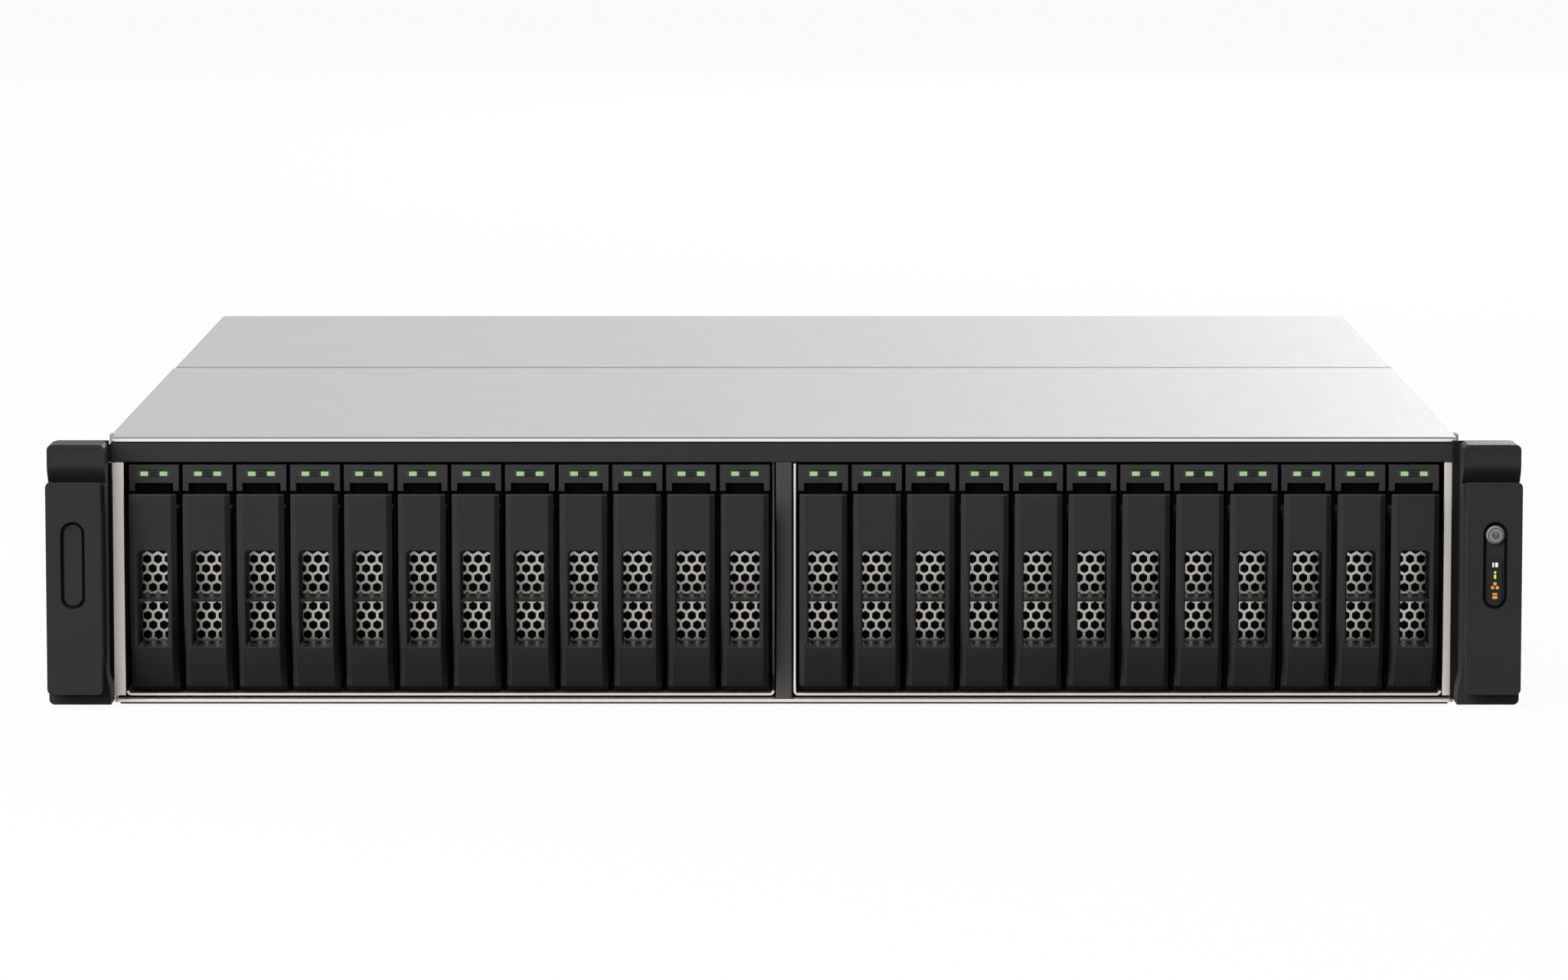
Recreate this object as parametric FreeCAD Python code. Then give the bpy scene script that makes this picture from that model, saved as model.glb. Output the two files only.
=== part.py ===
"""Two-unit rackmount storage server: 24 upright drive trays with swing levers, millimetres.

Frame: X to the right seen from the front, +Y to the rear, +Z up. The origin is at the bottom, in the
middle of the width and of the overall depth. Depths are counted from the front plane, the face of the
black top rail, and at() turns such a depth into a Y of the frame.
"""

import FreeCAD, Part
import os
from math import cos, hypot, pi, sin, sqrt

V = FreeCAD.Vector

# Sheet metal
CHASSIS_SHEET = 1.2
CAGE_SHEET = 0.9
COVER_SHEET = 1.0
BEND_RADIUS = 1.4
LIP_ROUND_SHARE = 0.9
EDGE_TOLERANCE = 1e-6

# Drive and its carrier
DRIVE_HEIGHT = 69.85
DRIVE_THICKNESS = 7.0
DRIVE_LENGTH = 100.2
RAIL_THICKNESS = 2.825
RAIL_WIDTH = 14.8
RAIL_TAIL = 2.0
GRILLE_SHEET = 1.0
GRILLE_DEPTH = 11.0
GRILLE_TO_DRIVE = 2.0
HEX_ACROSS_FLATS = 4.6
HEX_WEB = 0.9
HEX_ROWS = 2

# Bays, in two groups of trays beside a middle post
BAYS_PER_GROUP = 12
HEAD_WIDTH = 16.4
HEAD_GAP = 1.29
HEAD_HEIGHT = 5.9
HEAD_PROUD = 1.0
HEAD_POST = 1.9
HEAD_POST_DROP = 2.6
LIGHT_WIDTH = 2.5
LIGHT_HEIGHT = 1.4
LIGHT_SPACING = 6.32
LIGHT_DROP = 2.8
LIGHT_PROUD = 0.3
POST_WIDTH = 5.3
POST_DEPTH = 6.0
POST_GAP = 0.45
BAY_SIDE_CLEARANCE = 0.7
TRAY_FLOOR_CLEARANCE = 0.3
TRAY_ROOF_CLEARANCE = 0.5
CAGE_LIFT = 0.9
CAGE_TAIL = 0.8
ROOF_SETBACK = 2.0

# Swing lever of a tray, with its window
LEVER_WIDTH = 15.6
LEVER_FLAT_WIDTH = 12.15
LEVER_PROUD = 8.5
LEVER_BEVEL = 1.5
LEVER_TOP_GAP = 3.0
LEVER_FOOT_GAP = 0.5
LEVER_FOOT_CHAMFER = 1.5
LEVER_KNEE = 19.2
LEVER_BEVEL_START = 46.0
LEVER_KNEE_BEVEL = 7.0
LEVER_FOOT_PROUD = 0.7
LEVER_FOOT_SETBACK = 0.8
LEVER_FOOT_WALL = 1.0
LEVER_PLATE = 1.8
LEVER_CHEEK = 2.0
LEVER_BACK = 7.0
WINDOW_WIDTH = 9.6
WINDOW_BOTTOM = 19.4
WINDOW_TOP = 51.1
CROSSBAR = 0.9
POCKET_WALL = 1.8

# Hinge of the lever
PIN_RADIUS = 0.8
PIN_SIDES = 6
PIN_CLEARANCE = 0.1
PIN_DEPTH = 2.2
PIN_HEIGHT = 9.6
HINGE_BAR = 2.8
HINGE_SIDE_CLEARANCE = 0.2

# Case
SIDE_GAP = 2.7
STRIP_GAP = 0.2
STRIP_BOTTOM_GAP = 1.0
RAIL_FACE_HEIGHT = 6.3
RAIL_BOTTOM_GAP = 0.9
RAIL_RETURN = 9.0
RAIL_END_CLEARANCE = 0.2
RAIL_COVER_GAP = 1.0
COVER_SEAT_GAP = 0.2
FRONT_COVER_CLEARANCE = 0.8
REAR_COVER_CLEARANCE = 0.3
FRONT_COVER_LENGTH = 247.6
COVER_SEAM = 0.8
COVER_FLANGE = 13.0
COVER_LIP = 1.5
COVER_NOTCH = 3.0
DEPTH = 468.0
BRACE_WIDTH = 20.0
BRACE_DROP = 7.0
RAIL_HOLE_RADIUS = 1.65
RAIL_HOLE_FRONT = 70.0
RAIL_HOLE_SPACING = 300.0

# Rack ears
EAR_REACH = 18.3
EAR_DEPTH = 15.0
EAR_PANEL = 6.0
EAR_BOTTOM = 1.2
EAR_TOP_GAP = 1.0
EAR_LAP = 0.6
EAR_PANEL_INSET = 0.4
EAR_PANEL_BOTTOM = 5.3
EAR_PANEL_TOP_GAP = 12.7
EAR_VALLEY = 3.5
EAR_VALLEY_RISE = 4.7
EAR_LEDGE_DROP = 1.2
VALLEY_SHARE = 0.35
EAR_ROUND = 1.8
EAR_FLANGE = 2.0
EAR_ARM = 34.0
EAR_ARM_INSET = 8.0
EAR_SCOOP_RADIUS = 6.0
EAR_SCOOP_BITE = 1.0
EAR_SCOOP_INSET = 13.0
RACK_HOLE_RADIUS = 3.4
RACK_HOLE_SPACING = 76.2
RACK_HOLE_INSET = 8.75
RACK_POCKET_SIZE = 7.6
RACK_POCKET_DEPTH = 9.0
PANEL_SLOT_WIDTH = 8.0
PANEL_SLOT_LENGTH = 28.9
PANEL_SLOT_HEIGHT = 47.9
PANEL_SLOT_DEPTH = 3.0

# Power button and status window in the right ear
BUTTON_RADIUS = 3.1
BUTTON_RISE = 10.0
BUTTON_TRAVEL = 1.0
BUTTON_STEM_WIDTH = 3.0
BUTTON_STEM = 5.0
BUTTON_CLEARANCE = 0.2
STATUS_WIDTH = 4.6
STATUS_LENGTH = 16.5
STATUS_DROP = 5.1

# Boards
BOARD = 2.0
BACKPLANE_CLEARANCE = 0.3
CONNECTOR_DEPTH = 7.0
CONNECTOR_WIDTH = 5.0
CONNECTOR_LENGTH = 42.0
CONNECTOR_RISE = 5.0
BACKPLANE_HEIGHT = 70.0
MAINBOARD_HEIGHT = 6.0
MAINBOARD_REAR_GAP = 2.0
MAINBOARD_SIDE_GAP = 6.0
STANDOFF_RADIUS = 3.0
STANDOFF_INSET = 12.0
HEATSINK_WIDTH = 90.0
HEATSINK_LENGTH = 84.0
HEATSINK_HEIGHT = 52.0
HEATSINK_BASE = 6.0
HEATSINK_FINS = 9
HEATSINK_FIN = 2.0
HEATSINK_PLACE = 0.42
MEMORY_COUNT = 4
MEMORY_PITCH = 9.4
MEMORY_LENGTH = 133.4
MEMORY_HEIGHT = 34.0
MEMORY_THICKNESS = 3.0

# Fans
FAN_SIZE = 80.0
FAN_DEPTH = 38.0
FAN_BORE_RADIUS = 37.8
FAN_BORE_SIDES = 28
FAN_SPACING = 190.0
FAN_GAP = 22.0
FAN_FLOOR_GAP = 0.3
FAN_HUB_RADIUS = 15.0
FAN_HUB_DEPTH = 24.0
FAN_BLADES = 7
FAN_BLADE_RADIUS = 36.5
FAN_BLADE = 1.6
FAN_BLADE_PITCH = 35.0
BLADE_CHORD_SHARE = 0.8
BLADE_ROOT_SHARE = 0.6
FAN_STRUT = 4.0
FAN_STRUT_DEPTH = 5.0
FAN_SHAFT_RADIUS = 2.0
FAN_SHAFT_CLEARANCE = 0.1
FAN_HUB_GAP = 0.5

# Power supplies, one over the other at the rear
PSU_WIDTH = 73.5
PSU_HEIGHT = 40.0
PSU_LENGTH = 185.0
PSU_INSET = 6.0
PSU_CLEARANCE = 0.3
INLET_WIDTH = 24.0
INLET_HEIGHT = 17.0
INLET_CORNER = 5.0
INLET_DEPTH = 16.0
INLET_OFFSET = 20.0
HANDLE_REACH = 26.0
HANDLE_HEIGHT = 34.0
HANDLE_BAR = 5.0
HANDLE_WIDTH = 9.0
HANDLE_OFFSET = 4.0
PSU_VENT_COUNT = 5
PSU_VENT_WIDTH = 3.0
PSU_VENT_HEIGHT = 26.0
PSU_VENT_PITCH = 5.2
PSU_VENT_DEPTH = 4.0
PSU_VENT_OFFSET = 21.0

# Rear panel
SLOT_COUNT = 4
SLOT_PITCH = 20.32
SLOT_OPENING = 14.0
SLOT_PLATE = 18.4
SLOT_HEIGHT = 70.0
SLOT_BOTTOM = 9.0
SLOT_OFFSET = 18.0
VENT_COUNT = 7
VENT_PITCH = 11.6
VENT_WIDTH = 6.0
VENT_HEIGHT = 30.0
VENT_BOTTOM = 46.0
VENT_OFFSET = 200.0
PORT_LEAD = 22.0
PORT_GAP = 7.0
PORT_WALL = 1.2
PORT_MARGIN = 0.3
PORT_DEPTH = 18.0
# Mouth width and height of each kind of socket on the board's rear edge, and how many there are of a kind
NETWORK_PORT = (11.8, 8.2)
FIBRE_PORT = (13.6, 8.8)
SERIAL_BUS_PORT = (12.6, 5.2)
PORTS_OF_A_KIND = 2

# Heights worked out from the floor up
CAGE_FLOOR = CHASSIS_SHEET + CAGE_LIFT
BAY_FLOOR = CAGE_FLOOR + CAGE_SHEET
TRAY_BOTTOM = BAY_FLOOR + TRAY_FLOOR_CLEARANCE
TRAY_TOP = TRAY_BOTTOM + DRIVE_HEIGHT + 2 * RAIL_THICKNESS
HEAD_BOTTOM = TRAY_TOP - HEAD_HEIGHT
CAGE_ROOF = TRAY_TOP + TRAY_ROOF_CLEARANCE
RAIL_BOTTOM = TRAY_TOP + RAIL_BOTTOM_GAP
RAIL_TOP = RAIL_BOTTOM + RAIL_FACE_HEIGHT
COVER_BOTTOM = RAIL_TOP + RAIL_COVER_GAP
HEIGHT = COVER_BOTTOM + COVER_SHEET
WALL_TOP = COVER_BOTTOM - COVER_SEAT_GAP

# Widths worked out from the middle post outwards
BAY_PITCH = HEAD_WIDTH + HEAD_GAP
CAGE_INNER = POST_WIDTH / 2 + POST_GAP
FIRST_BAY = CAGE_INNER + CAGE_SHEET + BAY_SIDE_CLEARANCE + HEAD_WIDTH / 2
LAST_BAY = FIRST_BAY + BAY_PITCH * (BAYS_PER_GROUP - 1)
CAGE_OUTER = LAST_BAY + HEAD_WIDTH / 2 + BAY_SIDE_CLEARANCE + CAGE_SHEET
WALL_INNER = CAGE_OUTER + SIDE_GAP
WALL_OUTER = WALL_INNER + CHASSIS_SHEET
REAR_COVER_HALF = WALL_OUTER + REAR_COVER_CLEARANCE + COVER_SHEET
COVER_HALF = WALL_OUTER + FRONT_COVER_CLEARANCE + COVER_SHEET
PANEL_HALF = COVER_HALF + EAR_REACH

# Depths worked out from the front plane to the rear
GRILLE_BACK = GRILLE_DEPTH + GRILLE_SHEET
DRIVE_FRONT = GRILLE_BACK + GRILLE_TO_DRIVE
DRIVE_BACK = DRIVE_FRONT + DRIVE_LENGTH
TRAY_BACK = DRIVE_BACK + RAIL_TAIL
CAGE_LENGTH = TRAY_BACK + CAGE_TAIL
CONNECTOR_FRONT = DRIVE_BACK + BACKPLANE_CLEARANCE
BACKPLANE_FRONT = CONNECTOR_FRONT + CONNECTOR_DEPTH
FAN_FRONT = BACKPLANE_FRONT + BOARD + FAN_GAP
FAN_BACK = FAN_FRONT + FAN_DEPTH
MAINBOARD_FRONT = FAN_BACK + FAN_GAP
REAR_INSIDE = DEPTH - CHASSIS_SHEET
MAINBOARD_BACK = REAR_INSIDE - MAINBOARD_REAR_GAP
PSU_FRONT = DEPTH - PSU_LENGTH
EAR_FRONT = EAR_DEPTH + EAR_PANEL
OVERALL_DEPTH = EAR_FRONT + DEPTH + HANDLE_REACH
FRONT_PLANE = EAR_FRONT - OVERALL_DEPTH / 2

# Power supply bay, against the right side wall
PSU_X = WALL_INNER - PSU_INSET - PSU_WIDTH / 2
PSU_WALL_INNER = PSU_X - PSU_WIDTH / 2 - PSU_CLEARANCE - CHASSIS_SHEET
PSU_LOWER = CHASSIS_SHEET + PSU_CLEARANCE
PSU_SHELF = PSU_LOWER + PSU_HEIGHT + PSU_CLEARANCE
PSU_UPPER = PSU_SHELF + CHASSIS_SHEET + PSU_CLEARANCE
BOARD_TOP = CHASSIS_SHEET + MAINBOARD_HEIGHT + BOARD


def at(depth):
    """Y of the frame at a depth behind the front plane."""
    return FRONT_PLANE + depth


def block(x, depth, z):
    """Box from three (low, high) pairs, the middle one in depths."""
    size = [pair[1] - pair[0] for pair in (x, depth, z)]
    return Part.makeBox(size[0], size[1], size[2], V(x[0], at(depth[0]), z[0]))


def face_of(edges):
    return Part.Face(Part.Wire(edges))


def outline(points):
    return Part.makePolygon(points + points[:1])


def side_prism(points, x_low, x_high):
    """Prism along X from (depth, z) points."""
    wire = outline([V(x_low, at(depth), z) for depth, z in points])
    return Part.Face(wire).extrude(V(x_high - x_low, 0, 0))


def front_prism(points, depth_low, depth_high):
    """Prism along Y from (x, z) points."""
    wire = outline([V(x, at(depth_low), z) for x, z in points])
    return Part.Face(wire).extrude(V(0, depth_high - depth_low, 0))


def obround(x, z, width, length, depth_low, depth_high):
    """Upright slot shape with round ends, along Y."""
    radius = width / 2
    straight = length / 2 - radius
    y = at(depth_low)
    low, high = z - straight, z + straight
    edges = [
        Part.makeLine(V(x + radius, y, low), V(x + radius, y, high)),
        Part.Arc(V(x + radius, y, high), V(x, y, high + radius), V(x - radius, y, high)).toShape(),
        Part.makeLine(V(x - radius, y, high), V(x - radius, y, low)),
        Part.Arc(V(x - radius, y, low), V(x, y, low - radius), V(x + radius, y, low)).toShape(),
    ]
    return face_of(edges).extrude(V(0, depth_high - depth_low, 0))


def rod_along_depth(x, z, radius, depth_low, depth_high):
    return Part.makeCylinder(radius, depth_high - depth_low, V(x, at(depth_low), z), V(0, 1, 0))


def rod_along_width(depth, z, radius, x_low, x_high):
    return Part.makeCylinder(radius, x_high - x_low, V(x_low, at(depth), z), V(1, 0, 0))


def all_at(axis, place, points):
    """Whether every point has this coordinate along axis 0, 1 or 2."""
    return all(abs(p[axis] - place) < EDGE_TOLERANCE for p in points)


def rounded(shape, radius, keep):
    """Shape with a round on every edge that keep() picks by its two ends."""
    edges = [e for e in shape.Edges if keep(e.Vertexes[0].Point, e.Vertexes[-1].Point)]
    return shape.makeFillet(radius, edges)


def group(solids):
    return Part.makeCompound(solids)


def save(name, shape):
    shape.exportStep(os.path.join("parts", name + ".step"))


def hexagon(x, z, across_flats, depth_low, depth_high):
    """Hexagon with its points up and down, along Y."""
    radius = across_flats / sqrt(3)
    turns = [pi / 2 + k * pi / 3 for k in range(6)]
    points = [(x + radius * cos(a), z + radius * sin(a)) for a in turns]
    return front_prism(points, depth_low, depth_high)


def hex_cutters(x, depth_low, depth_high):
    """Staggered hexagons behind the upper and lower halves of a lever's window."""
    pitch = HEX_ACROSS_FLATS + HEX_WEB
    row = pitch * sqrt(3) / 2
    half = (WINDOW_TOP - WINDOW_BOTTOM - CROSSBAR) / 2
    cutters = []
    for middle in (WINDOW_BOTTOM + half / 2, WINDOW_TOP - half / 2):
        for k in range(HEX_ROWS):
            z = middle + (k - (HEX_ROWS - 1) / 2) * row
            hex_x = x + (k % 2 - 1 / 2) * pitch / 2
            cutters.append(hexagon(hex_x, z, HEX_ACROSS_FLATS, depth_low, depth_high))
    return cutters


def drive_tray(x):
    """Carrier with a perforated front, the drive, the head with its two lights, and the hinge."""
    half = RAIL_WIDTH / 2
    inner_low = TRAY_BOTTOM + RAIL_THICKNESS
    inner_high = TRAY_TOP - RAIL_THICKNESS
    profile = [
        (GRILLE_DEPTH, TRAY_BOTTOM),
        (TRAY_BACK, TRAY_BOTTOM),
        (TRAY_BACK, inner_low),
        (GRILLE_BACK, inner_low),
        (GRILLE_BACK, inner_high),
        (TRAY_BACK, inner_high),
        (TRAY_BACK, TRAY_TOP),
        (GRILLE_DEPTH, TRAY_TOP),
    ]
    carrier = side_prism(profile, x - half, x + half)
    carrier = carrier.cut(hex_cutters(x, GRILLE_DEPTH, GRILLE_BACK))
    slim = DRIVE_THICKNESS / 2
    drive = block((x - slim, x + slim), (DRIVE_FRONT, DRIVE_BACK), (inner_low, inner_high))
    lights = []
    for step in (-LIGHT_SPACING / 2, LIGHT_SPACING / 2):
        wide = (x + step - LIGHT_WIDTH / 2, x + step + LIGHT_WIDTH / 2)
        deep = (-HEAD_PROUD - LIGHT_PROUD, -HEAD_PROUD)
        middle = TRAY_TOP - LIGHT_DROP
        lights.append(block(wide, deep, (middle - LIGHT_HEIGHT / 2, middle + LIGHT_HEIGHT / 2)))
    return group([carrier, drive, tray_head(x)] + lights + lever_hinge(x))


def tray_head(x):
    """Moulded head with a short post at each side, which leaves room for a finger above the lever."""
    side = HEAD_WIDTH / 2
    inner = side - HEAD_POST
    foot = HEAD_BOTTOM - HEAD_POST_DROP
    arch = [
        (x - side, foot),
        (x - side, TRAY_TOP),
        (x + side, TRAY_TOP),
        (x + side, foot),
        (x + inner, foot),
        (x + inner, HEAD_BOTTOM),
        (x - inner, HEAD_BOTTOM),
        (x - inner, foot),
    ]
    return front_prism(arch, -HEAD_PROUD, GRILLE_DEPTH)


def lever_hinge(x):
    """Bar on the carrier's front, with an open seat, and the pin that it holds."""
    half = LEVER_WIDTH / 2 - LEVER_CHEEK - HINGE_SIDE_CLEARANCE
    low, high = PIN_HEIGHT - HINGE_BAR / 2, PIN_HEIGHT + HINGE_BAR / 2
    seat = PIN_RADIUS + PIN_CLEARANCE / 2
    profile = [
        (PIN_DEPTH - HINGE_BAR / 2, low),
        (GRILLE_DEPTH, low),
        (GRILLE_DEPTH, high),
        (PIN_DEPTH + seat, high),
        (PIN_DEPTH + seat, PIN_HEIGHT - seat),
        (PIN_DEPTH - seat, PIN_HEIGHT - seat),
        (PIN_DEPTH - seat, high),
        (PIN_DEPTH - HINGE_BAR / 2, high),
    ]
    bracket = side_prism(profile, x - half, x + half)
    reach = LEVER_WIDTH / 2 - HINGE_SIDE_CLEARANCE
    turns = [2 * pi * k / PIN_SIDES for k in range(PIN_SIDES)]
    rim = [(PIN_DEPTH + PIN_RADIUS * cos(a), PIN_HEIGHT + PIN_RADIUS * sin(a)) for a in turns]
    pin = side_prism(rim, x - reach, x + reach)
    return [bracket, pin]


def bevel_cutters(x):
    """Upright and slanting wedges that bevel both front edges of a lever."""
    half, face = LEVER_WIDTH / 2, LEVER_FLAT_WIDTH / 2
    foot, top = BAY_FLOOR + LEVER_FOOT_GAP, HEAD_BOTTOM
    shoulder = -LEVER_PROUD + LEVER_BEVEL
    run_back = LEVER_KNEE_BEVEL - LEVER_BEVEL
    fall = LEVER_BEVEL_START - LEVER_KNEE
    slant = V(0, run_back, -fall) * ((LEVER_BEVEL_START - foot) / fall)
    across = V(half - face, LEVER_KNEE_BEVEL, 0)
    cutters = []
    for side in (-1, 1):
        edge = V(x + side * half, at(shoulder), 0)
        corner = V(x + side * half, at(-LEVER_PROUD), 0)
        flat = V(x + side * face, at(-LEVER_PROUD), 0)
        wedge = Part.Face(outline([edge, corner, flat]))
        wedge.translate(V(0, 0, foot))
        cutters.append(wedge.extrude(V(0, 0, top - foot)))
        lean = V(side * across.x, across.y, 0)
        ahead = edge - lean * (LEVER_PROUD / LEVER_KNEE_BEVEL)
        slab = Part.Face(outline([edge + lean, ahead, V(edge.x + lean.x, ahead.y, 0)]))
        slab.translate(V(0, 0, LEVER_BEVEL_START))
        cutters.append(slab.extrude(slant))
    return cutters


def lever_body(x):
    """Solid outer form: its side outline, bevelled along both front edges."""
    foot = BAY_FLOOR + LEVER_FOOT_GAP
    top = HEAD_BOTTOM - LEVER_TOP_GAP
    profile = [
        (LEVER_FOOT_SETBACK, foot),
        (LEVER_BACK, foot),
        (LEVER_BACK, top),
        (-LEVER_PROUD, top),
        (-LEVER_PROUD, LEVER_KNEE),
        (-LEVER_FOOT_PROUD, foot + LEVER_FOOT_CHAMFER),
    ]
    return side_prism(profile, x - LEVER_WIDTH / 2, x + LEVER_WIDTH / 2).cut(bevel_cutters(x))


def tray_lever(x):
    """Bevelled lever: hollow behind its plate, with a deep window and slots for the pin."""
    foot = BAY_FLOOR + LEVER_FOOT_GAP
    top = HEAD_BOTTOM - LEVER_TOP_GAP
    knee_fall = LEVER_KNEE - foot - LEVER_FOOT_CHAMFER
    slope = (LEVER_PROUD - LEVER_FOOT_PROUD) / knee_fall
    plate = LEVER_PLATE * hypot(1, slope)
    half = LEVER_WIDTH / 2 - LEVER_CHEEK
    inside = -LEVER_PROUD + LEVER_PLATE
    pocket_top = WINDOW_BOTTOM - POCKET_WALL
    upper_low = WINDOW_TOP + POCKET_WALL
    pocket_face = plate - LEVER_FOOT_PROUD - slope * (pocket_top - foot - LEVER_FOOT_CHAMFER)
    lower = [
        (LEVER_FOOT_SETBACK + LEVER_FOOT_WALL, foot),
        (plate - LEVER_FOOT_PROUD, foot + LEVER_FOOT_CHAMFER),
        (pocket_face, pocket_top),
        (LEVER_BACK, pocket_top),
        (LEVER_BACK, foot),
    ]
    seat = PIN_RADIUS + PIN_CLEARANCE
    pin_slot = (PIN_HEIGHT - seat, PIN_HEIGHT + seat)
    reach = LEVER_WIDTH / 2
    window = (x - WINDOW_WIDTH / 2, x + WINDOW_WIDTH / 2)
    through = (-LEVER_PROUD, LEVER_BACK)
    middle = (WINDOW_BOTTOM + WINDOW_TOP) / 2
    cutters = [
        side_prism(lower, x - half, x + half),
        block((x - half, x + half), (inside, LEVER_BACK), (upper_low, top)),
        block(window, through, (WINDOW_BOTTOM, middle - CROSSBAR / 2)),
        block(window, through, (middle + CROSSBAR / 2, WINDOW_TOP)),
        block((x - reach, x + reach), (PIN_DEPTH - seat, LEVER_BACK), pin_slot),
    ]
    return lever_body(x).cut(cutters)


def folded_cover(half, depth_low, depth_high, flange_setback):
    """Sheet with both long sides folded down."""
    low = HEIGHT - COVER_FLANGE
    inner = half - COVER_SHEET
    profile = [
        (-half, low),
        (-half, HEIGHT),
        (half, HEIGHT),
        (half, low),
        (inner, low),
        (inner, COVER_BOTTOM),
        (-inner, COVER_BOTTOM),
        (-inner, low),
    ]
    sheet = front_prism(profile, depth_low, depth_high)
    if flange_setback:
        for side in (-1, 1):
            across = sorted((side * (half - COVER_NOTCH), side * half))
            sheet = sheet.cut(block(across, (depth_low, depth_low + flange_setback), (low, HEIGHT)))

    def long_top_edge(a, b):
        ends = (a, b)
        return all_at(2, HEIGHT, ends) and (all_at(0, half, ends) or all_at(0, -half, ends))

    return rounded(sheet, BEND_RADIUS, long_top_edge)


def front_top_cover():
    sheet = folded_cover(COVER_HALF, 0, FRONT_COVER_LENGTH, COVER_NOTCH)
    across = (COVER_NOTCH - COVER_HALF, COVER_HALF - COVER_NOTCH)
    lip = block(across, (0, COVER_SHEET), (HEIGHT - COVER_LIP, COVER_BOTTOM))
    sheet = sheet.fuse(lip).removeSplitter()

    def front_top_edge(a, b):
        return all_at(2, HEIGHT, (a, b)) and all_at(1, at(0), (a, b))

    return rounded(sheet, COVER_SHEET * LIP_ROUND_SHARE, front_top_edge)


def rear_top_cover():
    return folded_cover(REAR_COVER_HALF, FRONT_COVER_LENGTH + COVER_SEAM, DEPTH, 0)


def side_wall(side):
    """Wall with a narrow flange turned in at the front, and two holes for a slide rail."""
    ends = sorted((side * WALL_INNER, side * WALL_OUTER))
    wall = block(ends, (CHASSIS_SHEET, REAR_INSIDE), (CHASSIS_SHEET, WALL_TOP))
    across = sorted((side * (CAGE_OUTER + STRIP_GAP), side * WALL_OUTER))
    upright = (CHASSIS_SHEET + STRIP_BOTTOM_GAP, RAIL_BOTTOM - STRIP_GAP)
    wall = wall.fuse(block(across, (0, CHASSIS_SHEET), upright)).removeSplitter()
    for depth in (RAIL_HOLE_FRONT, RAIL_HOLE_FRONT + RAIL_HOLE_SPACING):
        wall = wall.cut(rod_along_width(depth, HEIGHT / 2, RAIL_HOLE_RADIUS, ends[0], ends[1]))
    return wall


def ports():
    """Each socket on the rear edge of the board: (x of its middle, mouth width, mouth height)."""
    found = []
    x = MAINBOARD_SIDE_GAP - WALL_INNER + PORT_LEAD
    for width, height in (NETWORK_PORT, FIBRE_PORT, SERIAL_BUS_PORT):
        for _ in range(PORTS_OF_A_KIND):
            outer = width + 2 * PORT_WALL
            found.append((x + outer / 2, width, height))
            x += outer + PORT_GAP
    return found


def slot_places():
    last = PSU_WALL_INNER - SLOT_OFFSET
    return [last - SLOT_PITCH * k for k in range(SLOT_COUNT)]


def rear_panel():
    """Rear wall with openings for the supplies, card slots, sockets and outgoing air."""
    through = (REAR_INSIDE, DEPTH)
    panel = block((-WALL_OUTER, WALL_OUTER), through, (CHASSIS_SHEET, WALL_TOP))
    bay = (PSU_X - PSU_WIDTH / 2 - PSU_CLEARANCE, PSU_X + PSU_WIDTH / 2 + PSU_CLEARANCE)
    bay_top = PSU_UPPER + PSU_HEIGHT + PSU_CLEARANCE
    cutters = [block(bay, through, (CHASSIS_SHEET, PSU_SHELF))]
    cutters.append(block(bay, through, (PSU_SHELF + CHASSIS_SHEET, bay_top)))
    for x in slot_places():
        half = SLOT_OPENING / 2
        cutters.append(block((x - half, x + half), through, (SLOT_BOTTOM, SLOT_BOTTOM + SLOT_HEIGHT)))
    for x, width, height in ports():
        half = width / 2 + PORT_WALL + PORT_MARGIN
        top = BOARD_TOP + height + 2 * PORT_WALL + PORT_MARGIN
        cutters.append(block((x - half, x + half), through, (BOARD_TOP - PORT_MARGIN, top)))
    for k in range(VENT_COUNT):
        x = VENT_PITCH * k - VENT_OFFSET
        half = VENT_WIDTH / 2
        cutters.append(block((x - half, x + half), through, (VENT_BOTTOM, VENT_BOTTOM + VENT_HEIGHT)))
    return panel.cut(cutters)


def slot_cover(x):
    """Blanking plate inside a card slot, with a tab bent in at its top."""
    half = SLOT_PLATE / 2
    top = SLOT_BOTTOM + SLOT_HEIGHT + CHASSIS_SHEET
    profile = [
        (REAR_INSIDE - CHASSIS_SHEET, SLOT_BOTTOM - CHASSIS_SHEET),
        (REAR_INSIDE, SLOT_BOTTOM - CHASSIS_SHEET),
        (REAR_INSIDE, top + CHASSIS_SHEET),
        (REAR_INSIDE - SLOT_OPENING, top + CHASSIS_SHEET),
        (REAR_INSIDE - SLOT_OPENING, top),
        (REAR_INSIDE - CHASSIS_SHEET, top),
    ]
    return side_prism(profile, x - half, x + half)


def psu_cage():
    """Two walls and a shelf round the power supplies, standing on the floor."""
    inner = PSU_X - PSU_WIDTH / 2 - PSU_CLEARANCE
    outer = PSU_X + PSU_WIDTH / 2 + PSU_CLEARANCE
    top = PSU_UPPER + PSU_HEIGHT
    shelf_top = PSU_SHELF + CHASSIS_SHEET
    profile = [
        (inner - CHASSIS_SHEET, CHASSIS_SHEET),
        (inner, CHASSIS_SHEET),
        (inner, PSU_SHELF),
        (outer, PSU_SHELF),
        (outer, CHASSIS_SHEET),
        (outer + CHASSIS_SHEET, CHASSIS_SHEET),
        (outer + CHASSIS_SHEET, top),
        (outer, top),
        (outer, shelf_top),
        (inner, shelf_top),
        (inner, top),
        (inner - CHASSIS_SHEET, top),
    ]
    return front_prism(profile, PSU_FRONT, REAR_INSIDE)


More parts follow.
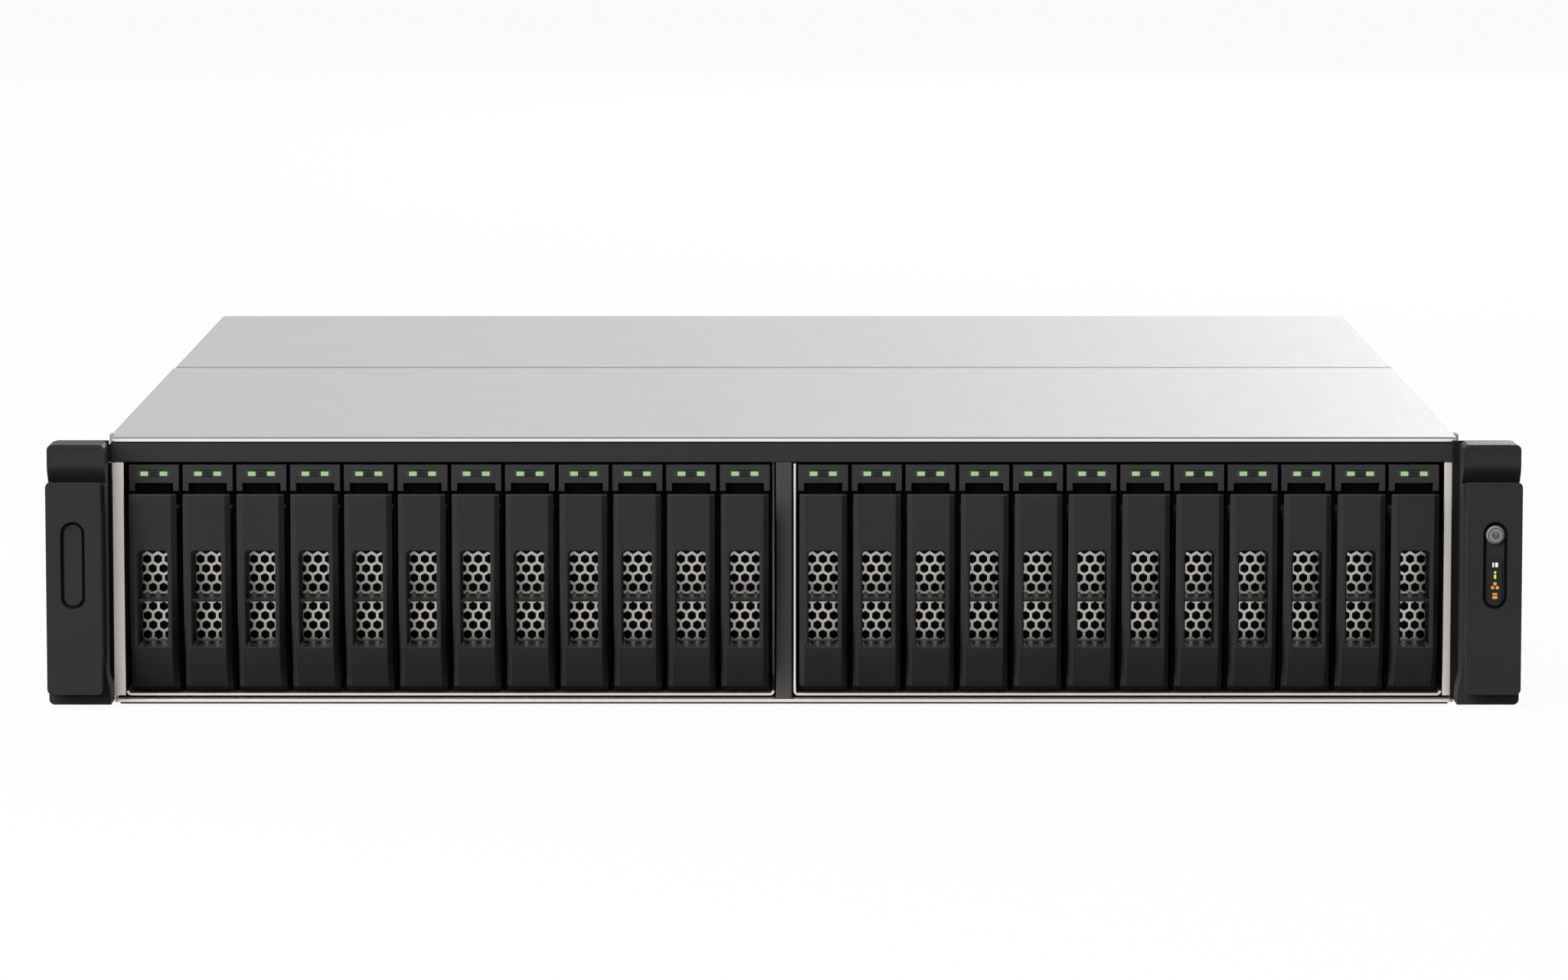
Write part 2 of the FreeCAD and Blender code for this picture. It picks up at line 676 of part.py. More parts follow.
def cover_brace():
    """Channel across the case under the seam of the two covers."""
    front = FRONT_COVER_LENGTH + COVER_SEAM / 2 - BRACE_WIDTH / 2
    back = front + BRACE_WIDTH
    low = WALL_TOP - BRACE_DROP
    profile = [
        (front, low),
        (front, WALL_TOP),
        (back, WALL_TOP),
        (back, low),
        (back - COVER_SHEET, low),
        (back - COVER_SHEET, WALL_TOP - COVER_SHEET),
        (front + COVER_SHEET, WALL_TOP - COVER_SHEET),
        (front + COVER_SHEET, low),
    ]
    return side_prism(profile, -WALL_INNER, WALL_INNER)


def chassis_base():
    floor = block((-WALL_OUTER, WALL_OUTER), (0, DEPTH), (0, CHASSIS_SHEET))
    covers = [slot_cover(x) for x in slot_places()]
    return group([floor, side_wall(-1), side_wall(1), rear_panel(), psu_cage(), cover_brace()] + covers)


def bay_group(side):
    """Floor, roof and two walls of the cage round one group of bays."""
    inner, outer = CAGE_INNER, CAGE_OUTER
    across = sorted((side * inner, side * outer))
    deep = (0, CAGE_LENGTH)
    behind = (ROOF_SETBACK, CAGE_LENGTH)
    upright = (BAY_FLOOR, CAGE_ROOF)
    return [
        block(across, deep, (CAGE_FLOOR, BAY_FLOOR)),
        block(across, behind, (CAGE_ROOF, CAGE_ROOF + CAGE_SHEET)),
        block(sorted((side * inner, side * (inner + CAGE_SHEET))), deep, upright),
        block(sorted((side * (outer - CAGE_SHEET), side * outer)), deep, upright),
    ]


def drive_cage():
    """Both groups of bays, with the black rail across their top and the post between them."""
    face = [
        (0, RAIL_BOTTOM),
        (CHASSIS_SHEET, RAIL_BOTTOM),
        (CHASSIS_SHEET, RAIL_TOP),
        (0, RAIL_TOP),
    ]
    rail = side_prism(face, -WALL_OUTER, WALL_OUTER)
    reach = WALL_INNER - RAIL_END_CLEARANCE
    fold = block((-reach, reach), (CHASSIS_SHEET, RAIL_RETURN), (RAIL_TOP - CHASSIS_SHEET, RAIL_TOP))
    rail = rail.fuse(fold).removeSplitter()
    half = POST_WIDTH / 2
    post = block((-half, half), (0, POST_DEPTH), (CHASSIS_SHEET, RAIL_BOTTOM))
    return group(bay_group(-1) + bay_group(1) + [rail, post])


def ear_bracket(side):
    """Steel angle: a flange for the rack post and an arm along the case's wall."""
    inner, outer = side * WALL_OUTER, side * PANEL_HALF
    flange = block(sorted((inner, outer)), (-EAR_FLANGE, 0), (EAR_BOTTOM, HEIGHT - EAR_TOP_GAP))
    arm_top = HEIGHT - COVER_FLANGE - EAR_TOP_GAP
    arm = block(sorted((inner, inner + side * CHASSIS_SHEET)), (0, EAR_ARM), (EAR_ARM_INSET, arm_top))
    return flange.fuse(arm).removeSplitter()


def rack_hole_places(side):
    """X and Z of an ear's two holes."""
    x = side * (PANEL_HALF - RACK_HOLE_INSET)
    return [(x, HEIGHT / 2 - RACK_HOLE_SPACING / 2), (x, HEIGHT / 2 + RACK_HOLE_SPACING / 2)]


def rack_holes(side):
    places = rack_hole_places(side)
    return [rod_along_depth(x, z, RACK_HOLE_RADIUS, -EAR_FLANGE, 0) for x, z in places]


def screw_pockets(side):
    """Square pockets behind the moulded cover, one over each hole of the bracket."""
    half = RACK_POCKET_SIZE / 2
    deep = (-EAR_FLANGE - RACK_POCKET_DEPTH, -EAR_FLANGE)
    return [block((x - half, x + half), deep, (z - half, z + half)) for x, z in rack_hole_places(side)]


def ear_block(inner, outer, depth_low, depth_high, z):
    """Upright block with its outer corners rounded, as seen from the front."""
    solid = block(sorted((inner, outer)), (depth_low, depth_high), z)

    def outer_corner(a, b):
        return all_at(0, outer, (a, b)) and any(all_at(2, level, (a, b)) for level in z)

    return rounded(solid, EAR_ROUND, outer_corner)


def ear_panel(side):
    """Raised front of an ear."""
    inner, outer = side * (COVER_HALF + EAR_PANEL_INSET), side * PANEL_HALF
    top = HEIGHT - EAR_PANEL_TOP_GAP
    return ear_block(inner, outer, -EAR_FRONT, -EAR_DEPTH + EAR_VALLEY, (EAR_PANEL_BOTTOM, top))


def ear_valley():
    """Hollow between the label block and the panel, which sinks behind the panel's upper edge."""
    top = HEIGHT - EAR_PANEL_TOP_GAP
    crest = top + EAR_VALLEY_RISE
    profile = [
        (-EAR_FRONT, top),
        (-EAR_DEPTH + EAR_VALLEY, top - EAR_LEDGE_DROP),
        (-EAR_DEPTH + EAR_VALLEY * VALLEY_SHARE, (top + crest) / 2),
        (-EAR_DEPTH, crest),
        (-EAR_FRONT, crest),
    ]
    return side_prism(profile, -PANEL_HALF, PANEL_HALF)


def ear_cover(side):
    """Moulded cover: a base, a raised panel, a slot in its face and a finger scoop inside."""
    outer, lap = side * PANEL_HALF, side * (COVER_HALF - EAR_LAP)
    base = ear_block(lap, outer, -EAR_DEPTH, -EAR_FLANGE, (EAR_BOTTOM, HEIGHT - EAR_TOP_GAP))
    cover = base.fuse(ear_panel(side)).removeSplitter()
    scoop_low = EAR_PANEL_BOTTOM + EAR_SCOOP_INSET
    scoop_high = HEIGHT - EAR_PANEL_TOP_GAP - EAR_SCOOP_INSET
    scoop_x = lap - side * (EAR_SCOOP_RADIUS - EAR_SCOOP_BITE)
    scoop_start = V(scoop_x, at(-EAR_DEPTH), scoop_low)
    scoop = Part.makeCylinder(EAR_SCOOP_RADIUS, scoop_high - scoop_low, scoop_start, V(0, 0, 1))
    cutters = [scoop, ear_valley()] + screw_pockets(side)
    slot_x = side * (PANEL_HALF - RACK_HOLE_INSET)
    floor = -EAR_FRONT + PANEL_SLOT_DEPTH
    slot = (PANEL_SLOT_HEIGHT, PANEL_SLOT_WIDTH, PANEL_SLOT_LENGTH)
    cutters.append(obround(slot_x, *slot, -EAR_FRONT, floor))
    if side > 0:
        wide = BUTTON_STEM_WIDTH + 2 * BUTTON_CLEARANCE
        cutters.append(button_stem(wide, floor, floor + BUTTON_STEM + BUTTON_TRAVEL))
    return cover.cut(cutters)


def button_height():
    return PANEL_SLOT_HEIGHT + BUTTON_RISE


def button_stem(width, depth_low, depth_high):
    """Square bar behind the middle of the power button."""
    x, z, half = PANEL_HALF - RACK_HOLE_INSET, button_height(), width / 2
    return block((x - half, x + half), (depth_low, depth_high), (z - half, z + half))


def power_button():
    """Round cap on a square stem that slides in the right ear."""
    x = PANEL_HALF - RACK_HOLE_INSET
    floor = -EAR_FRONT + PANEL_SLOT_DEPTH
    rest = floor - BUTTON_TRAVEL - BUTTON_CLEARANCE
    cap = rod_along_depth(x, button_height(), BUTTON_RADIUS, -EAR_FRONT, rest)
    return cap.fuse(button_stem(BUTTON_STEM_WIDTH, rest, rest + BUTTON_STEM)).removeSplitter()


def status_window():
    x = PANEL_HALF - RACK_HOLE_INSET
    floor = -EAR_FRONT + PANEL_SLOT_DEPTH
    return obround(x, PANEL_SLOT_HEIGHT - STATUS_DROP, STATUS_WIDTH, STATUS_LENGTH, -EAR_FRONT, floor)


def rack_ears():
    solids = [status_window()]
    for side in (-1, 1):
        bracket = ear_bracket(side).cut(rack_holes(side))
        solids += [bracket, ear_cover(side)]
    return group(solids)


def backplane():
    """Upright board behind the drives with one connector for each bay."""
    low = CHASSIS_SHEET + BACKPLANE_CLEARANCE
    deep = (BACKPLANE_FRONT, BACKPLANE_FRONT + BOARD)
    solids = [block((-CAGE_OUTER, CAGE_OUTER), deep, (low, low + BACKPLANE_HEIGHT))]
    z = TRAY_BOTTOM + RAIL_THICKNESS + CONNECTOR_RISE
    half = CONNECTOR_WIDTH / 2
    for x in bay_places():
        ahead = (CONNECTOR_FRONT, BACKPLANE_FRONT)
        solids.append(block((x - half, x + half), ahead, (z, z + CONNECTOR_LENGTH)))
    return solids


def heatsink(x, depth):
    """Comb of upright fins on a base."""
    start = x - HEATSINK_WIDTH / 2
    pitch = (HEATSINK_WIDTH - HEATSINK_FIN) / (HEATSINK_FINS - 1)
    low, top = BOARD_TOP + HEATSINK_BASE, BOARD_TOP + HEATSINK_HEIGHT
    points = [(start + HEATSINK_WIDTH, BOARD_TOP), (start, BOARD_TOP)]
    for k in range(HEATSINK_FINS):
        left = start + pitch * k
        points += [(left, top), (left + HEATSINK_FIN, top)]
        if k < HEATSINK_FINS - 1:
            points += [(left + HEATSINK_FIN, low), (left + pitch, low)]
    return front_prism(points, depth - HEATSINK_LENGTH / 2, depth + HEATSINK_LENGTH / 2)


def standoff(x, depth):
    """Hexagonal pillar between the floor and the board."""
    points = []
    for k in range(6):
        angle = k * pi / 3
        arm = V(cos(angle), sin(angle), 0) * STANDOFF_RADIUS
        points.append(V(x, at(depth), CHASSIS_SHEET) + arm)
    return Part.Face(outline(points)).extrude(V(0, 0, MAINBOARD_HEIGHT))


def socket_shell(x, width, height):
    """Metal shell of a socket, open to the rear."""
    outer, inner = width / 2 + PORT_WALL, width / 2
    front = DEPTH - PORT_DEPTH
    upright = (BOARD_TOP, BOARD_TOP + height + 2 * PORT_WALL)
    mouth = (BOARD_TOP + PORT_WALL, BOARD_TOP + PORT_WALL + height)
    shell = block((x - outer, x + outer), (front, DEPTH), upright)
    return shell.cut(block((x - inner, x + inner), (front + PORT_WALL, DEPTH), mouth))


def mainboard():
    """Board on standoffs with a heat sink, memory modules and the rear sockets."""
    left, right = MAINBOARD_SIDE_GAP - WALL_INNER, PSU_WALL_INNER - MAINBOARD_SIDE_GAP
    front, back = MAINBOARD_FRONT, MAINBOARD_BACK
    low = CHASSIS_SHEET + MAINBOARD_HEIGHT
    solids = [block((left, right), (front, back), (low, BOARD_TOP))]
    for x in (left + STANDOFF_INSET, (left + right) / 2, right - STANDOFF_INSET):
        for depth in (front + STANDOFF_INSET, back - STANDOFF_INSET):
            solids.append(standoff(x, depth))
    sink_x = left + (right - left) * HEATSINK_PLACE
    sink_depth = front + HEATSINK_LENGTH / 2 + STANDOFF_INSET
    solids.append(heatsink(sink_x, sink_depth))
    for k in range(MEMORY_COUNT):
        x = sink_x + HEATSINK_WIDTH / 2 + MEMORY_PITCH * (k + 1)
        across = (x - MEMORY_THICKNESS / 2, x + MEMORY_THICKNESS / 2)
        deep = (front + STANDOFF_INSET, front + STANDOFF_INSET + MEMORY_LENGTH)
        solids.append(block(across, deep, (BOARD_TOP, BOARD_TOP + MEMORY_HEIGHT)))
    return solids + [socket_shell(x, width, height) for x, width, height in ports()]


def circuit_boards():
    return group(backplane() + mainboard())


def fan_places():
    return (-FAN_SPACING / 2, FAN_SPACING / 2)


def fan_height():
    return CHASSIS_SHEET + FAN_FLOOR_GAP + FAN_SIZE / 2


def ring_points(x, z, radius, count):
    """Corners of an upright regular polygon, with a flat side towards +X."""
    turns = [(2 * k + 1) * pi / count for k in range(count)]
    return [(x + radius * cos(a), z + radius * sin(a)) for a in turns]


def fan_frame(x):
    """Square frame with a many-sided duct, and a cross of struts behind it that carries the shaft."""
    half, z = FAN_SIZE / 2, fan_height()
    deep = (FAN_BACK - FAN_STRUT_DEPTH, FAN_BACK)
    frame = block((x - half, x + half), (FAN_FRONT, deep[0]), (z - half, z + half))
    duct = ring_points(x, z, FAN_BORE_RADIUS, FAN_BORE_SIDES)
    frame = frame.cut(front_prism(duct, FAN_FRONT, deep[0]))
    thin = FAN_STRUT / 2
    frame = frame.fuse(block((x - half, x + half), deep, (z - thin, z + thin)))
    frame = frame.fuse(block((x - thin, x + thin), deep, (z - half, z + half)))
    side = FAN_HUB_RADIUS / sqrt(2)
    boss = block((x - side, x + side), deep, (z - side, z + side))
    bore = rod_along_depth(x, z, FAN_SHAFT_RADIUS + FAN_SHAFT_CLEARANCE, deep[0], deep[1])
    return frame.fuse(boss).cut(bore).removeSplitter()


def fan_rotor(x):
    """Hub with one flat side for each pitched blade, on a shaft."""
    z = fan_height()
    hub_back = FAN_BACK - FAN_STRUT_DEPTH - FAN_HUB_GAP
    hub_front = hub_back - FAN_HUB_DEPTH
    rotor = front_prism(ring_points(x, z, FAN_HUB_RADIUS, FAN_BLADES), hub_front, hub_back)
    rotor = rotor.fuse(rod_along_depth(x, z, FAN_SHAFT_RADIUS, hub_back, FAN_BACK))
    middle = (hub_front + hub_back) / 2
    chord = FAN_HUB_DEPTH * BLADE_CHORD_SHARE
    root = FAN_HUB_RADIUS * BLADE_ROOT_SHARE
    for k in range(FAN_BLADES):
        blade = Part.makeBox(FAN_BLADE_RADIUS - root, chord, FAN_BLADE)
        blade.translate(V(root, -chord / 2, -FAN_BLADE / 2))
        blade.rotate(V(0, 0, 0), V(1, 0, 0), FAN_BLADE_PITCH)
        blade.rotate(V(0, 0, 0), V(0, 1, 0), k * 360 / FAN_BLADES)
        blade.translate(V(x, at(middle), z))
        rotor = rotor.fuse(blade)
    return rotor


def psu_module(z):
    """Slide-in power supply: a case with an inlet and vents, and a pull handle."""
    half = PSU_WIDTH / 2
    case = block((PSU_X - half, PSU_X + half), (PSU_FRONT, DEPTH), (z, z + PSU_HEIGHT))
    middle = z + PSU_HEIGHT / 2
    inlet_x = PSU_X - INLET_OFFSET
    wide, tall = INLET_WIDTH / 2, INLET_HEIGHT / 2
    corner = INLET_CORNER
    mouth = [
        (inlet_x - wide, middle - tall),
        (inlet_x + wide, middle - tall),
        (inlet_x + wide, middle + tall - corner),
        (inlet_x + wide - corner, middle + tall),
        (inlet_x - wide + corner, middle + tall),
        (inlet_x - wide, middle + tall - corner),
    ]
    cutters = [front_prism(mouth, DEPTH - INLET_DEPTH, DEPTH)]
    for k in range(PSU_VENT_COUNT):
        x = PSU_X + PSU_VENT_OFFSET + (k - (PSU_VENT_COUNT - 1) / 2) * PSU_VENT_PITCH
        tall_vent = (middle - PSU_VENT_HEIGHT / 2, middle + PSU_VENT_HEIGHT / 2)
        across = (x - PSU_VENT_WIDTH / 2, x + PSU_VENT_WIDTH / 2)
        cutters.append(block(across, (DEPTH - PSU_VENT_DEPTH, DEPTH), tall_vent))
    return group([case.cut(cutters), psu_handle(middle)])


def psu_handle(middle):
    """Upright loop standing off the rear face."""
    x = PSU_X + HANDLE_OFFSET
    low, high = middle - HANDLE_HEIGHT / 2, middle + HANDLE_HEIGHT / 2
    back = DEPTH + HANDLE_REACH
    chamfer = HANDLE_BAR
    profile = [
        (DEPTH, low),
        (back - chamfer, low),
        (back, low + chamfer),
        (back, high - chamfer),
        (back - chamfer, high),
        (DEPTH, high),
        (DEPTH, high - HANDLE_BAR),
        (back - HANDLE_BAR, high - HANDLE_BAR),
        (back - HANDLE_BAR, low + HANDLE_BAR),
        (DEPTH, low + HANDLE_BAR),
    ]
    return side_prism(profile, x - HANDLE_WIDTH / 2, x + HANDLE_WIDTH / 2)


def bay_places():
    """X of each tray, from the left end to the right."""
    steps = [FIRST_BAY + BAY_PITCH * k for k in range(BAYS_PER_GROUP)]
    return [-x for x in reversed(steps)] + steps


def build():
    os.makedirs("parts", exist_ok=True)
    for number, x in enumerate(bay_places(), start=1):
        save("drive_tray_%02d" % number, drive_tray(x))
        save("tray_lever_%02d" % number, tray_lever(x))
    save("chassis_base", chassis_base())
    save("drive_cage", drive_cage())
    save("front_top_cover", front_top_cover())
    save("rear_top_cover", rear_top_cover())
    save("rack_ears", rack_ears())
    save("power_button", power_button())
    save("circuit_boards", circuit_boards())
    save("fan_frames", group([fan_frame(x) for x in fan_places()]))
    for name, x in zip(("fan_rotor_left", "fan_rotor_right"), fan_places()):
        save(name, fan_rotor(x))
    save("psu_module_lower", psu_module(PSU_LOWER))
    save("psu_module_upper", psu_module(PSU_UPPER))
    print("panel width %.2f, case width %.2f, height %.2f" % (2 * PANEL_HALF, 2 * COVER_HALF, HEIGHT))
    print("overall depth %.2f, front plane at %.2f" % (OVERALL_DEPTH, FRONT_PLANE))


build()
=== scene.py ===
"""Dressed scene of a two-unit rackmount storage server with upright drive trays.

Sizes are in millimetres. Depths count from the front plane, the face of the black top rail, towards the rear.
"""

import logging
from collections.abc import Callable
from dataclasses import dataclass
from enum import Enum
from math import hypot, pi, radians, sqrt
from typing import NamedTuple

import bmesh
import bpy
from mathutils import Matrix, Vector


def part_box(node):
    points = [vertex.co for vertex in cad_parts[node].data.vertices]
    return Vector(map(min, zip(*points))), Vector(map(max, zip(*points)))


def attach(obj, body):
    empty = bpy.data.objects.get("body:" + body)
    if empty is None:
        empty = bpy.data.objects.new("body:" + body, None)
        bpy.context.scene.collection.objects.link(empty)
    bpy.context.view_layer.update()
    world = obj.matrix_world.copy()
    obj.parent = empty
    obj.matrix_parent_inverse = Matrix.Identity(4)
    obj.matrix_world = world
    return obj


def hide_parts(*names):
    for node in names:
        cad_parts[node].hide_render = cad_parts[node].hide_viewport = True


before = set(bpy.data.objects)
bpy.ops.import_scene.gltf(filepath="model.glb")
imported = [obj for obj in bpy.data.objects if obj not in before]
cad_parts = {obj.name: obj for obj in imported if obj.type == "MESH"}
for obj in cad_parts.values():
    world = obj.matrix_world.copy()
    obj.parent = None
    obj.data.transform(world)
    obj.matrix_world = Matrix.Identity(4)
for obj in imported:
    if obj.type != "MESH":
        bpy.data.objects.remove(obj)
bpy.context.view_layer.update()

LOG = logging.getLogger("server")
MM = 0.001  # metres in a millimetre
FRONT_PLANE = -236.5  # place of the front plane in the frame
NEAR = 0.02  # sizes that differ by less agree
CLEAR = 1.0  # how far a cutter reaches past what it cuts
HAIR = 0.01  # what keeps the two corners of a round end apart
FACING = 0.9  # smallest share of its normal with which a face looks along an axis
SLIGHT_TURN = radians(40.0)  # turn at an edge that smooth shading hides
ACROSS, REARWARD, UPWARD = Vector((1, 0, 0)), Vector((0, 1, 0)), Vector((0, 0, 1))
BAYS = 24
WHITE = (1.0, 1.0, 1.0, 1.0)
Span = tuple[float, float]
Size = tuple[float, float]
Place = tuple[float, float, float]
Bays = dict[int, float]
Inputs = dict[str | int, object]


class Spot(NamedTuple):
    """A place in millimetres: across, behind the front plane, and up."""

    x: float
    depth: float
    z: float

    def metres(self) -> Vector:
        """Gives the place in the frame's metres."""
        return Vector((self.x, FRONT_PLANE + self.depth, self.z)) * MM


CornerTest = Callable[[Spot], bool]
EdgeTest = Callable[[Spot, Spot], bool]
FaceTest = Callable[[Spot, Vector], bool]
PIN = Spot(0.0, 2.2, 9.6)  # axis of a lever's hinge


class Axis(Enum):
    """Direction of a rod, as the turn that a standing cylinder needs."""

    X = (0.0, pi / 2, 0.0)
    Y = (pi / 2, 0.0, 0.0)
    Z = (0.0, 0.0, 0.0)


class Part(Enum):
    """Parts of a mesh, with the names of their select modes."""

    CORNER = "VERT"
    EDGE = "EDGE"
    FACE = "FACE"


class Side(Enum):
    """Side of the case, seen from the front."""

    LEFT = -1
    RIGHT = 1

    @property
    def label(self) -> str:
        """Gives the side's name for a piece."""
        return self.name.lower()

    def span(self, inner: float, outer: float) -> Span:
        """Gives the ordered span between two distances from the middle."""
        low, high = sorted((self.value * inner, self.value * outer))
        return low, high


class Slot(Enum):
    """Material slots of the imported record."""

    CHASSIS = "chassis_steel"
    CAGE = "cage_steel"
    COVER = "cover_steel"
    EAR = "ear_plastic"
    BUTTON = "button_plastic"
    BOARD = "board"
    FAN = "fan_plastic"
    SUPPLY = "supply_metal"
    TRAY = "tray_metal"
    LEVER = "lever_plastic"


def spot_of(point: Vector) -> Spot:
    """Gives the place in millimetres of a point in metres."""
    return Spot(point.x / MM, point.y / MM - FRONT_PLANE, point.z / MM)


def span(half: float, middle: float = 0.0) -> Span:
    """Gives the span that reaches half its length to both sides of a middle."""
    return middle - half, middle + half


def same(a: float, b: float) -> bool:
    """Tells whether two sizes in millimetres agree."""
    return abs(a - b) < NEAR


def along_width(a: Spot, b: Spot) -> bool:
    """Tells whether an edge runs across the case."""
    return same(a.depth, b.depth) and same(a.z, b.z)


def along_depth(a: Spot, b: Spot) -> bool:
    """Tells whether an edge runs from front to rear."""
    return same(a.x, b.x) and same(a.z, b.z)


def upright(a: Spot, b: Spot) -> bool:
    """Tells whether an edge stands upright."""
    return same(a.x, b.x) and same(a.depth, b.depth)


def linear(code: str) -> tuple[float, float, float, float]:
    """Turns an sRGB hex colour to linear.

    Args:
        code: six hex digits.

    Returns:
        Red, green, blue and an alpha of one.
    """
    parts = [int(code[i:i + 2], 16) / 255 for i in (0, 2, 4)]
    red, green, blue = (c / 12.92 if c <= 0.04045 else ((c + 0.055) / 1.055) ** 2.4 for c in parts)
    return red, green, blue, 1.0


def feed(tree: bpy.types.NodeTree, node: bpy.types.Node, inputs: Inputs) -> None:
    """Sets or links the input sockets of a node.

    Args:
        tree: node tree that holds the node.
        node: the node.
        inputs: per input socket, a value or the output socket that feeds it.
    """
    for key, value in inputs.items():
        if isinstance(value, bpy.types.NodeSocket):
            tree.links.new(value, node.inputs[key])
        else:
            node.inputs[key].default_value = value


def add_node(tree: bpy.types.NodeTree, kind: str, inputs: Inputs | None = None, **settings: object
             ) -> bpy.types.NodeOutputs:
    """Adds a node with its settings, socket values and links.

    Args:
        tree: node tree that gets the node.
        kind: Blender's name of the node type, without its first words.
        inputs: what its input sockets get.
        settings: attributes of the node.

    Returns:
        The new node's output sockets.
    """
    node = tree.nodes.new("ShaderNode" + kind)
    for key, value in settings.items():
        setattr(node, key, value)
    feed(tree, node, inputs or {})
    return node.outputs


@dataclass(frozen=True)
class Finish:
    """A real material, made once as a node tree and shared by its pieces."""

    name: str
    colour: str

    def material(self) -> bpy.types.Material:
        """Makes the material on first use.

        Returns:
            The finish's material.
        """
        material = bpy.data.materials.get(self.name)
        if not material:
            material = bpy.data.materials.new(self.name)
            material.use_nodes = True
            tree = material.node_tree
            feed(tree, tree.nodes["Principled BSDF"], self.surface(tree))
        return material

    def surface(self, tree: bpy.types.NodeTree) -> Inputs:
        """Builds the pattern in a node tree and tells what the shader's sockets get."""
        raise NotImplementedError


@dataclass(frozen=True)
class Grained(Finish):
    """A surface with a fine grain in its gloss and relief, and a tint that changes in soft clouds."""

    light: str
    roughness: float = 0.5
    gloss: float = 0.06
    specular: float = 0.5
    metallic: float = 0.0
    grain: float = 0.5
    stretch: float = 1.0
    relief: float = 0.012
    bump: float = 0.6
    cloud: float = 18.0
    cloud_detail: float = 2.0

    def surface(self, tree: bpy.types.NodeTree) -> Inputs:
        """Builds the grain, the clouds and the broken gloss.

        Args:
            tree: the material's node tree.

        Returns:
            What the shader's sockets get.
        """
        place = add_node(tree, "TexCoord")["Object"]
        drawn = add_node(tree, "Mapping", {"Vector": place, "Scale": (1.0, 1 / self.stretch, 1.0)})["Vector"]
        grain = add_node(tree, "TexNoise", {"Vector": drawn, "Scale": 1 / (self.grain * MM), "Detail": 3.0})["Fac"]
        clouds = add_node(
            tree, "TexNoise",
            {"Vector": place, "Scale": 1 / (self.cloud * MM), "Detail": self.cloud_detail})["Fac"]
        tint = add_node(
            tree, "Mix", {0: clouds, 6: linear(self.colour), 7: linear(self.light)}, data_type="RGBA")[2]
        low, high = span(self.gloss, self.roughness)
        gloss = add_node(tree, "MapRange", {"Value": grain, "To Min": low, "To Max": high})["Result"]
        bump = add_node(
            tree, "Bump", {"Height": grain, "Distance": self.relief * MM, "Strength": self.bump})["Normal"]
        return {"Base Color": tint, "Roughness": gloss, "Normal": bump,
                "Specular IOR Level": self.specular, "Metallic": self.metallic}


@dataclass(frozen=True)
class MouldedPlastic(Grained):
    """Moulded ABS from a spark-eroded tool: a fine satin grain that softens every highlight."""

    specular: float = 0.3


@dataclass(frozen=True)
class SheetMetal(Grained):
    """Rolled sheet with a zinc coat: faint lines along the rolling direction and cloudy, uneven gloss."""

    roughness: float = 0.36
    gloss: float = 0.07
    metallic: float = 1.0
    grain: float = 0.7
    stretch: float = 40.0
    relief: float = 0.004
    bump: float = 0.5
    cloud: float = 22.0
    cloud_detail: float = 4.0


@dataclass(frozen=True)
class LightPipe(Finish):
    """Clear acrylic end of a light pipe, lit from behind: an even and slightly cloudy glow."""

    body: str = "202420"
    roughness: float = 0.25
    cloud: float = 1.5
    glow: Span = (0.85, 1.1)

    def surface(self, tree: bpy.types.NodeTree) -> Inputs:
        """Builds the cloudy glow.

        Args:
            tree: the material's node tree.

        Returns:
            What the shader's sockets get.
        """
        place = add_node(tree, "TexCoord")["Object"]
        clouds = add_node(tree, "TexNoise", {"Vector": place, "Scale": 1 / (self.cloud * MM)})["Fac"]
        low, high = self.glow
        glow = add_node(tree, "MapRange", {"Value": clouds, "To Min": low, "To Max": high})["Result"]
        return {"Base Color": linear(self.body), "Roughness": self.roughness,
                "Emission Color": linear(self.colour), "Emission Strength": glow}


@dataclass(frozen=True)
class CircuitBoard(Finish):
    """Glass-epoxy board under solder mask: copper runs show through as slightly paler lines."""

    trace: str
    roughness: float = 0.35
    cell: float = 6.0
    pitch: float = 0.12
    run: Span = (0.05, 0.07)
    relief: float = 0.02
    bump: float = 0.5

    def surface(self, tree: bpy.types.NodeTree) -> Inputs:
        """Builds the copper runs under the mask.

        Args:
            tree: the material's node tree.

        Returns:
            What the shader's sockets get.
        """
        place = add_node(tree, "TexCoord")["Object"]
        cells = add_node(
            tree, "TexVoronoi", {"Vector": place, "Scale": 1 / (self.cell * MM)},
            distance="MANHATTAN", feature="F1")["Distance"]
        steps = add_node(tree, "Math", {0: cells, 1: self.pitch}, operation="PINGPONG")["Value"]
        low, high = self.run
        runs = add_node(tree, "MapRange", {"Value": steps, "From Min": low, "From Max": high})["Result"]
        tint = add_node(
            tree, "Mix", {0: runs, 6: linear(self.colour), 7: linear(self.trace)}, data_type="RGBA")[2]
        bump = add_node(
            tree, "Bump", {"Height": runs, "Distance": self.relief * MM, "Strength": self.bump})["Normal"]
        return {"Base Color": tint, "Roughness": self.roughness, "Normal": bump}


# Charcoal ABS of the tray fronts: a dark satin face with soft pale edges.
CHARCOAL = MouldedPlastic("charcoal_moulded_abs", "363636", "393939", specular=0.05)
# Charcoal ABS of the tray heads: the same moulding compound, painted a touch paler as painted light, for the light
# that the set-back heads lack.
PAINTED_LIGHT_HEAD_ABS = MouldedPlastic("charcoal_head_abs", "3D3D3D", "414141", specular=0.05)
# Glossy black ABS of the windows' sills and bars: mirrors the perforated sheet faintly.
GLOSS_BLACK = MouldedPlastic("gloss_black_abs", "0A0A0A", "0D0D0D", roughness=0.3, relief=0.004)
